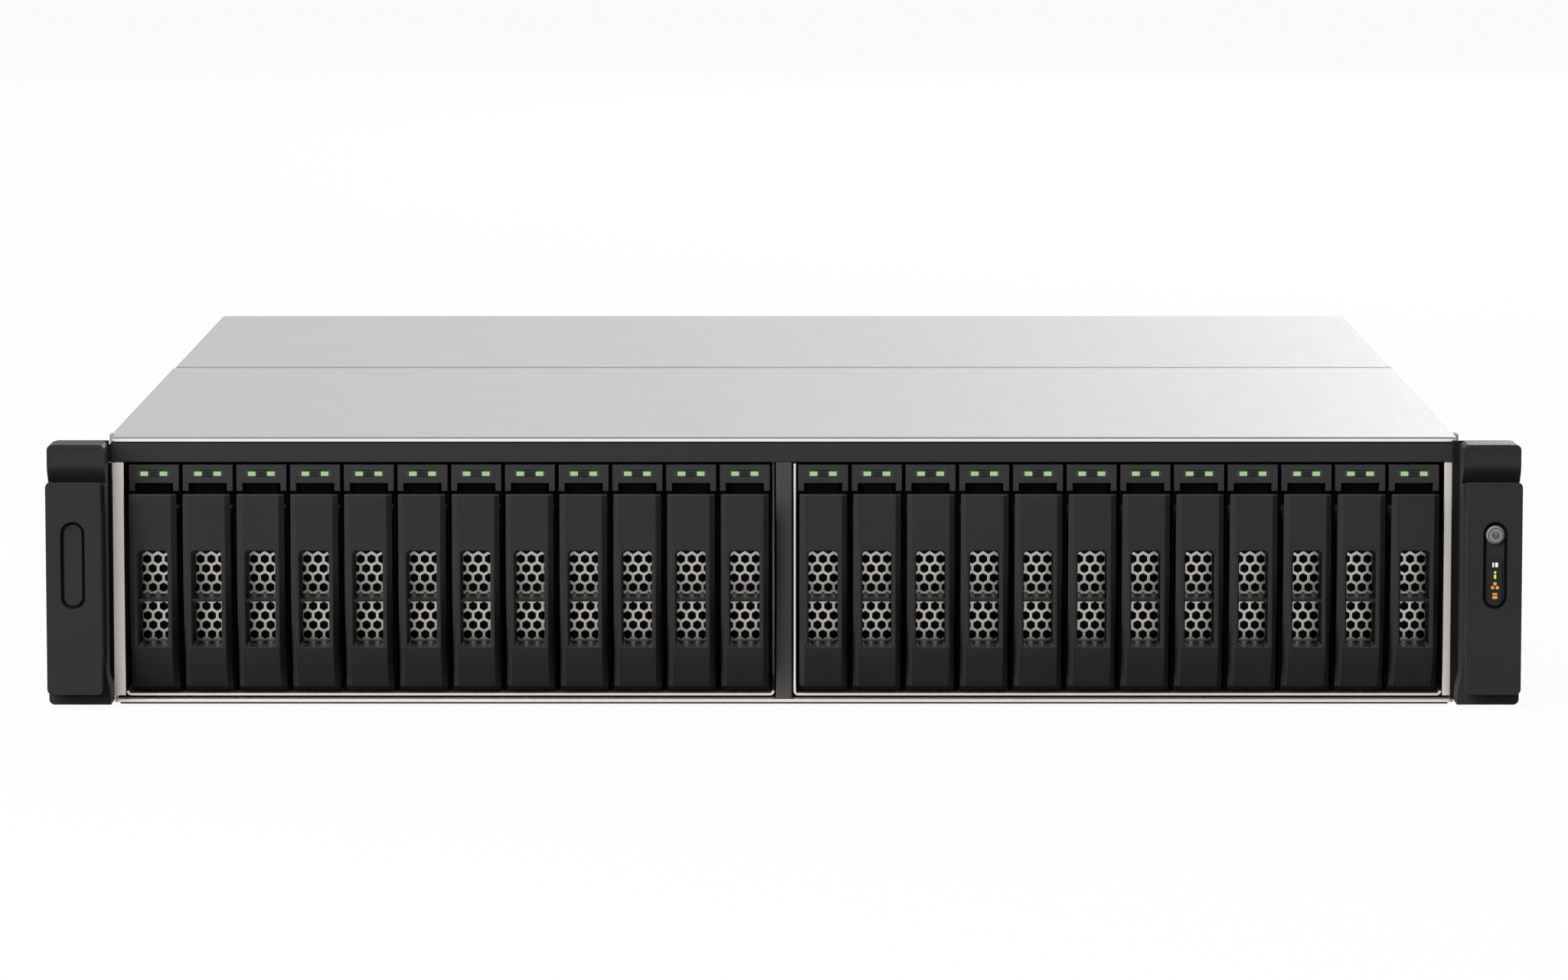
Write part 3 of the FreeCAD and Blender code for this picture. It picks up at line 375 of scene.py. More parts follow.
# Matt black nylon of connectors, handles, hinges, carrier rails and the thin strip under the floor's lip: no clear
# highlight at all. It is also painted shade: the trays' frames and catches, real parts, are made black for the
# shade in the gaps and behind the levers, and it lies under the cover's lip and on the rear cover's edge at the
# seam.
BLACK_NYLON_AND_PAINTED_SHADE = MouldedPlastic("black_nylon_and_painted_shade", "070708", "0B0B0C", roughness=0.6, specular=0.2)
# Black dip coat on the ears' brackets: dull, a shade darker than the mouldings. The same colour is painted shade
# under the levers' feet, and the brackets' dark inner laps stand in for the shade beside the ears.
BLACK_COAT_AND_PAINTED_SHADE = MouldedPlastic("black_coat_and_painted_shade", "1C1C1C", "202020", roughness=0.6, specular=0.05)
# Black powder coat on the rail: a fine orange peel that spreads the light.
POWDER_COAT = MouldedPlastic(
    "black_powder_coated_steel", "323232", "363636", roughness=0.45, specular=0.15, grain=0.9, relief=0.02)
# The rail's powder coat on the post, painted a little greyer as painted light, for the light that the post lacks
# between the trays: the same peel.
PAINTED_LIGHT_POST_COAT = MouldedPlastic(
    "grey_black_powder_coated_steel", "4C4C4C", "505050", roughness=0.45, specular=0.15, grain=0.9, relief=0.02)
# Plain zinc-coated sheet of the covers: pale and even, with faint rolling lines from front to rear.
COVER_ZINC = SheetMetal("zinc_coated_cover_sheet", "A3A3A5", "A9A9AB", roughness=0.62)
# The cover's zinc painted darker on the outside of the front fold, as a painted dark reflection of the bend: duller
# and darker than the flat sheet.
PAINTED_REFLECTION_FOLD_ZINC = SheetMetal("stretched_zinc_fold", "6E6C6A", "787674", roughness=0.55)
# Zinc-coated sheet of the chassis and the supplies: slightly warmer and more clouded than the covers.
CHASSIS_ZINC = SheetMetal("zinc_coated_chassis_sheet", "A8A6A2", "B2B0AC", roughness=0.6)
# Zinc on the cage and the narrow front strips: pale and slightly warm.
STRIP_ZINC = SheetMetal("zinc_plated_front_strip", "D2CEC9", "DAD6D1", roughness=0.4)
# The cover's zinc painted almost white on the lip below the fold, as a painted highlight.
PAINTED_HIGHLIGHT_LIP_ZINC = SheetMetal("bright_zinc_plated_strip", "E6E2DC", "EFEBE5", roughness=0.34)
# Stainless steel of the perforated tray fronts, pins, screws and socket shells: an even, warm silver.
GRILLE_STEEL = SheetMetal("perforated_stainless_sheet", "BDB9B2", "CFCBC4", roughness=0.3, stretch=1.0, grain=0.4)
# Die-cast aluminium of the heat sink: dull grey with a coarse cast skin.
CAST_ALUMINIUM = SheetMetal("die_cast_aluminium", "85878A", "94969A", roughness=0.5, stretch=1.0, grain=0.9)
# The drives' castings painted black as the shade behind the perforated sheet: a dull skin that shows nothing
# through it.
PAINTED_SHADE_CASTING = MouldedPlastic(
    "casting_painted_black_as_shade", "0C0C0D", "121214", roughness=0.55, specular=0.2, grain=0.9)
# Green light pipe of a healthy drive: a soft pale green dot.
GREEN_PIPE = LightPipe("green_lit_acrylic", "9CC488")
# Painted glow round a light pipe: a dim emission that stands in for the halo of its light.
PAINTED_GLOW_RIM = LightPipe("painted_glow_round_light", "0F100E")
# Smoked lens between the lights: a shade darker than the moulding around it.
SMOKED_LENS = MouldedPlastic("smoked_acrylic", "242424", "272727", roughness=0.4, specular=0.15)
# Lit marks of the status window: clear small signs, white, lime and amber.
WHITE_MARK = LightPipe("white_lit_acrylic", "F0F2F0")
LIME_MARK = LightPipe("lime_lit_acrylic", "D2E632")
AMBER_MARK = LightPipe("amber_lit_acrylic", "EB9628")
# Frosted clear cap of the power button: pale grey, as of brushed silver behind plastic.
FROSTED_CAP = MouldedPlastic("frosted_polycarbonate", "8E9090", "9C9E9E", roughness=0.35, specular=0.5)
# Grey print under the button's cap: the ring and the barred disc of the power sign.
GREY_PRINT = MouldedPlastic("grey_printed_film", "5E6060", "666868", specular=0.2)
# Glass-filled nylon of the fans: dark grey with a dull sheen.
FAN_PLASTIC = MouldedPlastic("glass_filled_fan_plastic", "1C1C1E", "222224")
# Coloured plastic of the supplies' release tabs: a dull brick red that stands out beside the handle.
TAB_PLASTIC = MouldedPlastic("release_tab_plastic", "7A2A1E", "822E22")
# Green solder mask over copper: dark green with paler runs.
GREEN_BOARD = CircuitBoard("solder_masked_board", "10301C", "1E4A2C")


class Workpiece:
    """A mesh on the bench, started from a primitive and shaped with Blender's own tools."""

    def __init__(self, obj: bpy.types.Object) -> None:
        """Takes an object to work on."""
        self.obj = obj

    @classmethod
    def fresh(cls, name: str) -> "Workpiece":
        """Takes the primitive that was just added, with its place moved into its mesh.

        Args:
            name: name of the piece.

        Returns:
            The piece.
        """
        obj = bpy.context.active_object
        obj.name = obj.data.name = name
        bpy.ops.object.transform_apply(location=True, rotation=True, scale=True)
        return cls(obj)

    def pick(self) -> None:
        """Selects this piece alone and makes it active."""
        bpy.ops.object.select_all(action="DESELECT")
        self.obj.select_set(True)
        bpy.context.view_layer.objects.active = self.obj

    def work(self, part: Part, test: Callable[..., bool], tool: Callable, **settings: object) -> "Workpiece":
        """Applies a tool in edit mode to the parts of the mesh that pass a test.

        Args:
            part: parts to work on.
            test: gets a corner's place, an edge's two ends, or a face's middle and normal.
            tool: an operator of Blender.
            settings: the operator's settings.

        Returns:
            The piece.
        """
        self.pick()
        bpy.ops.object.mode_set(mode="EDIT")
        bpy.ops.mesh.select_mode(type=part.value)
        bpy.ops.mesh.select_all(action="DESELECT")
        mesh = bmesh.from_edit_mesh(self.obj.data)
        if part is Part.CORNER:
            chosen = [v for v in mesh.verts if test(spot_of(v.co))]
        elif part is Part.EDGE:
            chosen = [e for e in mesh.edges if test(*(spot_of(v.co) for v in e.verts))]
        else:
            chosen = [f for f in mesh.faces if test(spot_of(f.calc_center_median()), f.normal)]
        if not chosen:
            raise ValueError(f"{self.obj.name}: nothing to work on")
        for element in chosen:
            element.select_set(True)
        bmesh.update_edit_mesh(self.obj.data)
        tool(**settings)
        bpy.ops.object.mode_set(mode="OBJECT")
        return self

    def shift(self, test: CornerTest, x: float = 0.0, depth: float = 0.0, z: float = 0.0) -> "Workpiece":
        """Moves the corners that pass a test across, to the rear or up."""
        return self.work(Part.CORNER, test, bpy.ops.transform.translate, value=Vector((x, depth, z)) * MM)

    def extrude(self, test: FaceTest, depth: float = 0.0, z: float = 0.0) -> "Workpiece":
        """Draws the faces that pass a test out to the rear or up."""
        way = {"value": Vector((0.0, depth, z)) * MM}
        return self.work(Part.FACE, test, bpy.ops.mesh.extrude_region_move, TRANSFORM_OT_translate=way)

    def drop(self, test: FaceTest) -> "Workpiece":
        """Deletes the faces that pass a test."""
        return self.work(Part.FACE, test, bpy.ops.mesh.delete, type="FACE")

    def round_edges(self, test: EdgeTest, radius: float, steps: int = 4) -> "Workpiece":
        """Rounds the edges that pass a test to a radius, with so many faces along the round."""
        return self.work(Part.EDGE, test, bpy.ops.mesh.bevel, offset=radius * MM, segments=steps, affect="EDGES")

    def slice(self, normal: Vector, *marks: float) -> "Workpiece":
        """Cuts edges right round the piece where planes stand across it.

        Args:
            normal: direction across the planes.
            marks: place of each plane in that direction.

        Returns:
            The piece.
        """
        for mark in marks:
            place = Spot(*(mark * share for share in normal)).metres()
            self.work(Part.FACE, lambda c, n: True, bpy.ops.mesh.bisect, plane_co=place, plane_no=normal)
        return self

    def hollow(self, way: int, rim: float, sunk: float) -> "Workpiece":
        """Opens a mouth in the face at the front or the rear.

        Args:
            way: 1 for the face at the rear, -1 for the one at the front.
            rim: width of the rim that stays.
            sunk: depth of the mouth.

        Returns:
            The piece.
        """
        def sink() -> None:
            """Insets the selected face and draws its middle in."""
            bpy.ops.mesh.inset(thickness=rim * MM)
            bpy.ops.mesh.extrude_region_move(TRANSFORM_OT_translate={"value": (0.0, -way * sunk * MM, 0.0)})

        return self.work(Part.FACE, lambda c, n: n.y * way > FACING, sink)

    def modify(self, kind: str, **settings: object) -> "Workpiece":
        """Adds a modifier and applies it.

        Args:
            kind: Blender's name of the modifier type.
            settings: the modifier's settings.

        Returns:
            The piece.
        """
        self.pick()
        modifier = self.obj.modifiers.new(kind.lower(), kind)
        for key, value in settings.items():
            setattr(modifier, key, value)
        bpy.ops.object.modifier_apply(modifier=modifier.name)
        return self

    def combine(self, operation: str, *others: "Workpiece") -> "Workpiece":
        """Applies other pieces to this one as solids, and uses them up.

        Args:
            operation: Blender's name of the Boolean operation.
            others: the other pieces, in order.

        Returns:
            The piece.
        """
        for other in others:
            self.modify("BOOLEAN", object=other.obj, operation=operation, solver="EXACT")
            other.scrap()
        return self

    def cut(self, *cutters: "Workpiece") -> "Workpiece":
        """Takes the shapes of cutters out of the piece."""
        return self.combine("DIFFERENCE", *cutters)

    def fuse(self, *others: "Workpiece") -> "Workpiece":
        """Grows the piece together with others."""
        return self.combine("UNION", *others)

    def join(self, *others: "Workpiece") -> "Workpiece":
        """Takes the others' meshes into this object, each with its own finish.

        Args:
            others: the other pieces.

        Returns:
            The piece.
        """
        self.pick()
        for other in others:
            other.obj.select_set(True)
        bpy.ops.object.join()
        return self

    def soften(self, radius: float, steps: int = 2, angle: float = 35.0) -> "Workpiece":
        """Breaks the edges that turn by more than an angle in degrees, and shades the rounds smooth."""
        self.modify("BEVEL", width=radius * MM, segments=steps, limit_method="ANGLE", angle_limit=radians(angle))
        return self.smooth()

    def smooth(self) -> "Workpiece":
        """Shades the piece smooth across slight turns, and keeps its large faces flat.

        Returns:
            The piece.
        """
        self.pick()
        bpy.ops.object.shade_smooth_by_angle(angle=SLIGHT_TURN)
        return self.modify("WEIGHTED_NORMAL", keep_sharp=True)

    def dress(self, finish: Finish) -> "Workpiece":
        """Gives the whole piece one finish."""
        self.obj.data.materials.clear()
        return self.paint(finish, lambda c, n: True)

    def paint(self, finish: Finish, test: FaceTest) -> "Workpiece":
        """Adds a finish to the piece and gives it to some faces.

        Args:
            finish: the finish.
            test: tells whether a face is meant, by middle and normal.

        Returns:
            The piece.
        """
        mesh = self.obj.data
        mesh.materials.append(finish.material())
        for face in mesh.polygons:
            if test(spot_of(face.center), face.normal):
                face.material_index = len(mesh.materials) - 1
        return self

    def copy(self, name: str, x: float = 0.0, z: float = 0.0) -> "Workpiece":
        """Copies the piece, with a mesh of its own, to another place.

        Args:
            name: name of the copy.
            x: way across.
            z: way up.

        Returns:
            The copy.
        """
        obj = self.obj.copy()
        obj.data = self.obj.data.copy()
        obj.name = obj.data.name = name
        bpy.context.scene.collection.objects.link(obj)
        obj.data.transform(Matrix.Translation(Vector((x, 0.0, z)) * MM))
        return Workpiece(obj)

    def turned(self, name: str, centre: Spot, angle: float) -> "Workpiece":
        """Copies the piece and turns the copy about a line along the depth.

        Args:
            name: name of the copy.
            centre: a place on the line.
            angle: turn in degrees.

        Returns:
            The copy.
        """
        copy = self.copy(name)
        hub = Matrix.Translation(centre.metres())
        copy.obj.data.transform(hub @ Matrix.Rotation(radians(angle), 4, "Y") @ hub.inverted())
        return copy

    def settle(self, slot: Slot, *nodes: str, body: str = "chassis") -> "Workpiece":
        """Fixes the finished piece to its body.

        Args:
            slot: the record's slot for its finish; not used.
            nodes: CAD nodes that it stands for.
            body: body that carries it.

        Returns:
            The piece.
        """
        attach(self.obj, body)
        if nodes:
            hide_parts(*nodes)
        LOG.info("%s on %s", self.obj.name, body)
        return self

    def scrap(self) -> None:
        """Takes a used-up piece off the bench."""
        bpy.data.objects.remove(self.obj)


def block(name: str, x: Span, depth: Span, z: Span) -> Workpiece:
    """Adds a box.

    Args:
        name: name of the piece.
        x: span across.
        depth: span behind the front plane.
        z: span in height.

    Returns:
        The piece.
    """
    low, high = (Spot(*corner).metres() for corner in zip(x, depth, z))
    bpy.ops.object.select_all(action="DESELECT")
    bpy.ops.mesh.primitive_cube_add(size=1.0, location=(low + high) / 2, scale=high - low)
    return Workpiece.fresh(name)


def rod(name: str, axis: Axis, middle: Spot, radius: float, length: float, sides: int = 32) -> Workpiece:
    """Adds a round bar.

    Args:
        name: name of the piece.
        axis: direction of the bar.
        middle: its middle.
        radius: its radius.
        length: its length.
        sides: faces around it.

    Returns:
        The piece.
    """
    bpy.ops.object.select_all(action="DESELECT")
    bpy.ops.mesh.primitive_cylinder_add(
        vertices=sides, radius=radius * MM, depth=length * MM, location=middle.metres(), rotation=axis.value)
    return Workpiece.fresh(name)


def lozenge(name: str, x: float, z: float, size: Size, depth: Span, corner: float) -> Workpiece:
    """Makes an upright plate with rounded corners.

    Args:
        name: name of the piece.
        x: place of its middle across.
        z: height of its middle.
        size: width and height.
        depth: span behind the front plane.
        corner: radius of the corners.

    Returns:
        The piece.
    """
    piece = block(name, span(size[0] / 2, x), depth, span(size[1] / 2, z))
    return piece.round_edges(along_depth, corner, 6)


@dataclass
class Levers:
    """Swing levers in front of the trays: bevelled fronts with a deep two-part window."""

    width: float = 15.6
    flat: float = 12.15
    front: float = -8.5
    back: float = 7.0
    foot: float = 3.5
    heel: Span = (2.6, 3.3)  # depth of the flat and of the edges
    chin: float = 5.5
    chin_depth: float = -0.7
    knee: float = 19.2
    knee_levels: tuple[float, ...] = (8.0, 12.0, 15.6)
    swell: float = 1.35
    top: float = 69.9
    crest: float = 0.6
    bevel: float = 1.5
    bevel_start: float = 46.0
    bevel_end: float = 1.3
    bevel_curve: float = 1.75
    bevel_step: float = 4.0
    bevel_steps: int = 7
    window: float = 9.6
    sill: float = 19.4
    lintel: float = 51.1
    corner: float = 1.2
    rim: float = 0.45
    slack: float = 0.1
    bar: Span = (34.4, 35.3)
    bar_depth: Span = (-8.0, 6.8)
    bar_lap: float = 0.2
    cheek: float = 2.0
    cheek_step: float = 5.0
    plate: float = 1.8
    upper_hollow: float = 52.9
    lower_hollow: float = 17.6
    lower_front: float = 0.4
    lower_bend: float = 6.5
    lower_slopes: Span = (1.6, 2.4)
    pin_hole: float = 0.95

    def face_depth(self, z: float) -> float:
        """Gives the depth of the flat front at a height.

        Args:
            z: the height.

        Returns:
            The depth.
        """
        if z < self.chin:
            return self.heel[0]
        fall = max(self.knee - z, 0.0) / (self.knee - self.chin)
        return self.front + fall ** self.swell * (self.chin_depth - self.front)

    def edge_depth(self, z: float) -> float:
        """Gives the depth of the bevel's outer edge at a height.

        Args:
            z: the height.

        Returns:
            The depth.
        """
        if z < self.chin:
            return self.heel[1]
        rim = self.front + self.bevel
        fall = max(self.bevel_start - z, 0.0) / (self.bevel_start - self.foot)
        return rim + (self.bevel_end - rim) * fall ** self.bevel_curve

    def blank(self) -> Workpiece:
        """Shapes the lever's outside.

        Returns:
            The solid lever.
        """
        half, face = self.width / 2, self.flat / 2
        lever = block("lever_pattern", span(half), (self.front, self.back), (self.foot, self.top))
        lever.slice(ACROSS, -face, face)
        steps = [self.bevel_start - self.bevel_step * i for i in range(self.bevel_steps)]
        levels = [self.chin, *self.knee_levels, self.knee, *steps, self.top - self.crest]
        lever.slice(UPWARD, *levels)
        for z in (self.foot, *levels, self.top):
            sunk = self.crest if z == self.top else 0.0
            for x, depth in ((half, self.edge_depth(z)), (face, self.face_depth(z))):
                way = depth - self.front + sunk
                if way:
                    lever.shift(
                        lambda p: same(p.z, z) and same(abs(p.x), x) and same(p.depth, self.front), depth=way)
        return lever

    def in_window(self, place: Spot) -> bool:
        """Tells whether a place lies within the window's outline."""
        across = abs(place.x) < self.window / 2 + self.slack
        return across and self.sill - self.slack < place.z < self.lintel + self.slack

    def on_wall(self, middle: Spot, normal: Vector) -> bool:
        """Tells whether a face belongs to the window's walls."""
        return self.in_window(middle) and middle.depth > self.front + self.rim and abs(normal.y) < 0.5

    def pattern(self) -> Workpiece:
        """Models one lever at the middle of the case: a glossy sill, dull walls and painted shade under its foot.

        Returns:
            The lever.
        """
        lever = self.blank()
        inside, beyond = self.front + self.plate, self.back + CLEAR
        hollow, above = span(self.width / 2 - self.cheek), self.top + CLEAR
        lever.cut(
            block("cheeks", span(self.width), (inside, beyond), (self.top - self.cheek_step, above)),
            block("upper_hollow", hollow, (inside, beyond), (self.upper_hollow, above)))
        lower = block("lower_hollow", hollow, (self.lower_front, beyond), (self.foot - CLEAR, self.lower_hollow))
        lower.shift(lambda p: p.z < self.foot and p.depth < self.back, depth=self.lower_slopes[0])
        lower.slice(UPWARD, self.lower_bend)
        lower.shift(lambda p: p.z < self.foot and p.depth < self.back, depth=self.lower_slopes[1])
        lever.cut(lower, lozenge(
            "window", 0, (self.sill + self.lintel) / 2, (self.window, self.lintel - self.sill),
            (self.front - CLEAR, beyond), self.corner))
        lever.round_edges(
            lambda a, b: all(self.in_window(p) and same(p.depth, self.front) for p in (a, b)), self.rim, 1)
        lever.cut(rod("pin_hole", Axis.X, PIN, self.pin_hole, self.width + 2 * CLEAR, 12))
        lever.soften(0.22, 2, 24.0).dress(CHARCOAL)
        lever.paint(GLOSS_BLACK, self.on_wall)
        lever.paint(BLACK_NYLON_AND_PAINTED_SHADE, lambda c, n: self.on_wall(c, n) and n.z <= 0.5)
        # The downward faces under the foot get the black coat as painted shade.
        lever.paint(BLACK_COAT_AND_PAINTED_SHADE, lambda c, n: c.z < self.chin and n.z < -0.7)
        bar = block("crossbar", span(self.window / 2 + self.bar_lap), self.bar_depth, self.bar)
        return lever.join(bar.soften(0.2).dress(GLOSS_BLACK))

    def build(self, bays: Bays) -> None:
        """Makes all levers.

        Args:
            bays: place across of each bay, by number.
        """
        pattern = self.pattern()
        for number, x in bays.items():
            lever = pattern.copy(f"swing_lever_{number:02d}", x)
            lever.settle(Slot.LEVER, f"tray_lever_{number:02d}", body=f"lever_{number:02d}")
        pattern.scrap()


@dataclass
class Trays:
    """Drive trays: head with two lights, perforated front, carrier rails, drive and hinge."""

    width: float = 16.4
    front: float = -1.0
    sheet: Span = (11.0, 12.0)
    sheet_top: float = 78.6
    foot: float = 3.3
    head: float = 72.9
    post: float = 1.9
    post_foot: float = 70.3
    top: float = 78.8
    seams: tuple[tuple[float, Span], ...] = ((4.3, (76.95, 77.2)), (1.8, (74.9, 75.1)))
    seam_depth: float = 0.4
    frame_front: float = 10.2
    frame_foot: float = 3.4
    opening: Size = (11.2, 37.0)
    opening_z: float = 35.0
    opening_corner: float = 1.5
    catch: float = 5.2
    catch_depth: Span = (1.0, 10.4)
    catch_foot: float = 63.0
    catch_slope: float = 5.0
    lens: Size = (2.6, 1.5)
    light: Size = (2.5, 1.4)
    light_offset: float = 3.16
    light_z: float = 76.0
    glow: Size = (3.6, 2.2)
    glow_offset: float = 1.12
    hex_pitch: float = 3.577
    hex_row: float = 3.146
    hex_flats: float = 2.7
    hex_rows: int = 10
    hex_top: float = 49.44
    rail: float = 7.4
    rail_depth: Span = (11.9, 116.2)
    rail_nose: float = 1.2
    rail_heights: tuple[Span, ...] = ((3.3, 6.1), (76.0, 78.8))
    groove: Size = (1.6, 0.8)  # half its width, and its depth into the rail
    groove_depth: Span = (24.0, 104.0)
    drive_half: float = 3.5
    drive: Span = (14.0, 114.2)
    drive_z: Span = (6.13, 75.97)
    lid: Size = (2.6, 0.4)  # width of the rim round it and its drop
    plug: float = 2.2
    plug_depth: Span = (110.2, 114.4)
    plug_z: Span = (12.0, 46.0)
    plug_mouth: Size = (0.7, 3.0)  # rim and depth
    hinge_half: float = 5.6
    hinge_depth: Span = (0.8, 11.2)
    hinge_z: Span = (8.2, 11.0)
    pin: Size = (0.8, 15.4)  # radius and length

    def bezel(self) -> Workpiece:
        """Models the moulded front: arched head with the fine seams of its lens, frame round the sheet, catch. The
        frame and the catch are black as painted shade in the gaps between the trays and in the recess above each
        lever.

        Returns:
            The bezel.
        """
        half, before = self.width / 2, self.front - CLEAR
        head = block("head", span(half), (self.front, self.sheet[0]), (self.post_foot, self.top))
        head.cut(block(
            "arch", span(half - self.post), (before, self.sheet[1]), (self.post_foot - CLEAR, self.head)))
        for reach, z in self.seams:
            head.cut(block("seam", span(reach), (before, self.front + self.seam_depth), z))
        # The head gets the paler charcoal as painted light.
        head.soften(0.2).dress(PAINTED_LIGHT_HEAD_ABS)
        # The frame is black as painted shade in the gaps between the trays.
        plate = block("frame", span(half), (self.frame_front, self.sheet[0]), (self.frame_foot, self.head))
        plate.cut(lozenge(
            "opening", 0, self.opening_z, self.opening, (self.frame_front - CLEAR, self.sheet[1]),
            self.opening_corner))
        # The catch is black as painted shade in the recess above the lever.
        catch = block("catch", span(self.catch), self.catch_depth, (self.catch_foot, self.head))
        catch.shift(
            lambda p: same(p.depth, self.catch_depth[0]) and same(p.z, self.catch_foot), depth=self.catch_slope)
        return head.join(plate.soften(0.2).dress(BLACK_NYLON_AND_PAINTED_SHADE), catch.soften(0.4).dress(BLACK_NYLON_AND_PAINTED_SHADE))

    def lights(self) -> Workpiece:
        """Models the two light pipe ends, a painted glow round each and the dark lens between them.

        Returns:
            Both lights.
        """
        face, z = self.front, self.light_z
        lens = lozenge("lens", 0, z, self.lens, (face - 0.02, face + 0.3), 0.2)
        lens.soften(0.05, 1).dress(SMOKED_LENS)
        for x in span(self.light_offset):
            pipe = lozenge("light_pipe", x, z, self.light, (face - 0.1, face + 0.4), 0.12)
            # Each rim is a painted glow round its light.
            rim = lozenge("painted_glow_rim", self.glow_offset * x, z, self.glow, (face - 0.04, face + 0.3), 0.8)
            lens.join(pipe.soften(0.05, 1).dress(GREEN_PIPE), rim.soften(0.03, 1).dress(PAINTED_GLOW_RIM))
        return lens

    def grille(self) -> Workpiece:
        """Models the perforated sheet with its hexagons.

        Returns:
            The sheet.
        """
        sheet = block("sheet", span(self.rail), self.sheet, (self.foot, self.sheet_top))
        holes, through = [], self.sheet[1] - self.sheet[0] + 2 * CLEAR
        for row in range(self.hex_rows):
            count, z = 3 if row % 2 else 4, self.hex_top - row * self.hex_row
            for i in range(count):
                middle = Spot((i - (count - 1) / 2) * self.hex_pitch, sum(self.sheet) / 2, z)
                holes.append(rod("hexagon", Axis.Y, middle, self.hex_flats / sqrt(3), through, 6))
        return sheet.cut(holes[0].join(*holes[1:])).soften(0.12, 1).dress(GRILLE_STEEL)

    def carrier(self) -> Workpiece:
        """Models the carrier's two grooved rails with their lead-in noses.

        Returns:
            The carrier.
        """
        rails, (half, sunk) = [], self.groove
        for low, high in self.rail_heights:
            rail = block("rail", span(self.rail), self.rail_depth, (low, high))
            rail.round_edges(lambda a, b: upright(a, b) and same(a.depth, self.rail_depth[1]), self.rail_nose, 3)
            groove = block("groove", span(half), self.groove_depth, (low - CLEAR, low + sunk))
            rails.append(rail.cut(groove).soften(0.2, 1).dress(BLACK_NYLON_AND_PAINTED_SHADE))
        return rails[0].join(rails[1])

    def storage(self) -> Workpiece:
        """Models the drive: a cast tub with sunk lids and its plug at the rear.

        Returns:
            The drive.
        """
        drive = block("drive", span(self.drive_half), self.drive, self.drive_z)
        drive.round_edges(along_depth, 0.8, 2)
        rim, drop = self.lid
        drive.work(
            Part.FACE, lambda c, n: abs(n.x) > FACING, bpy.ops.mesh.inset, thickness=rim * MM, depth=-drop * MM)
        # The drive is painted black as the shade behind the perforated sheet.
        drive.soften(0.25, 1).dress(PAINTED_SHADE_CASTING)
        plug = block("plug", span(self.plug), self.plug_depth, self.plug_z)
        return drive.join(plug.hollow(1, *self.plug_mouth).smooth().dress(BLACK_NYLON_AND_PAINTED_SHADE))

    def hinge(self) -> Workpiece:
        """Models the hinge block and its pin.

        Returns:
            The hinge.
        """
        body = block("hinge_block", span(self.hinge_half), self.hinge_depth, self.hinge_z)
        body.round_edges(lambda a, b: along_width(a, b) and same(a.depth, self.hinge_depth[0]), 1.2)
        body.soften(0.15, 1).dress(BLACK_NYLON_AND_PAINTED_SHADE)
        pin = rod("pin", Axis.X, PIN, *self.pin, 16)
        return body.join(pin.soften(0.15, 1).dress(GRILLE_STEEL))

    def build(self, bays: Bays) -> None:
        """Makes all trays.

        Args:
            bays: place across of each bay, by number.
        """
        patterns = {
            "tray_bezel": self.bezel(), "tray_lights": self.lights(), "tray_sheet": self.grille(),
            "tray_carrier": self.carrier(), "tray_drive": self.storage(), "tray_hinge": self.hinge()}
        for number, x in bays.items():
            for kind, pattern in patterns.items():
                nodes = (f"drive_tray_{number:02d}",) if kind == "tray_bezel" else ()
                pattern.copy(f"{kind}_{number:02d}", x).settle(Slot.TRAY, *nodes, body=f"drive_{number:02d}")
        for pattern in patterns.values():
            pattern.scrap()


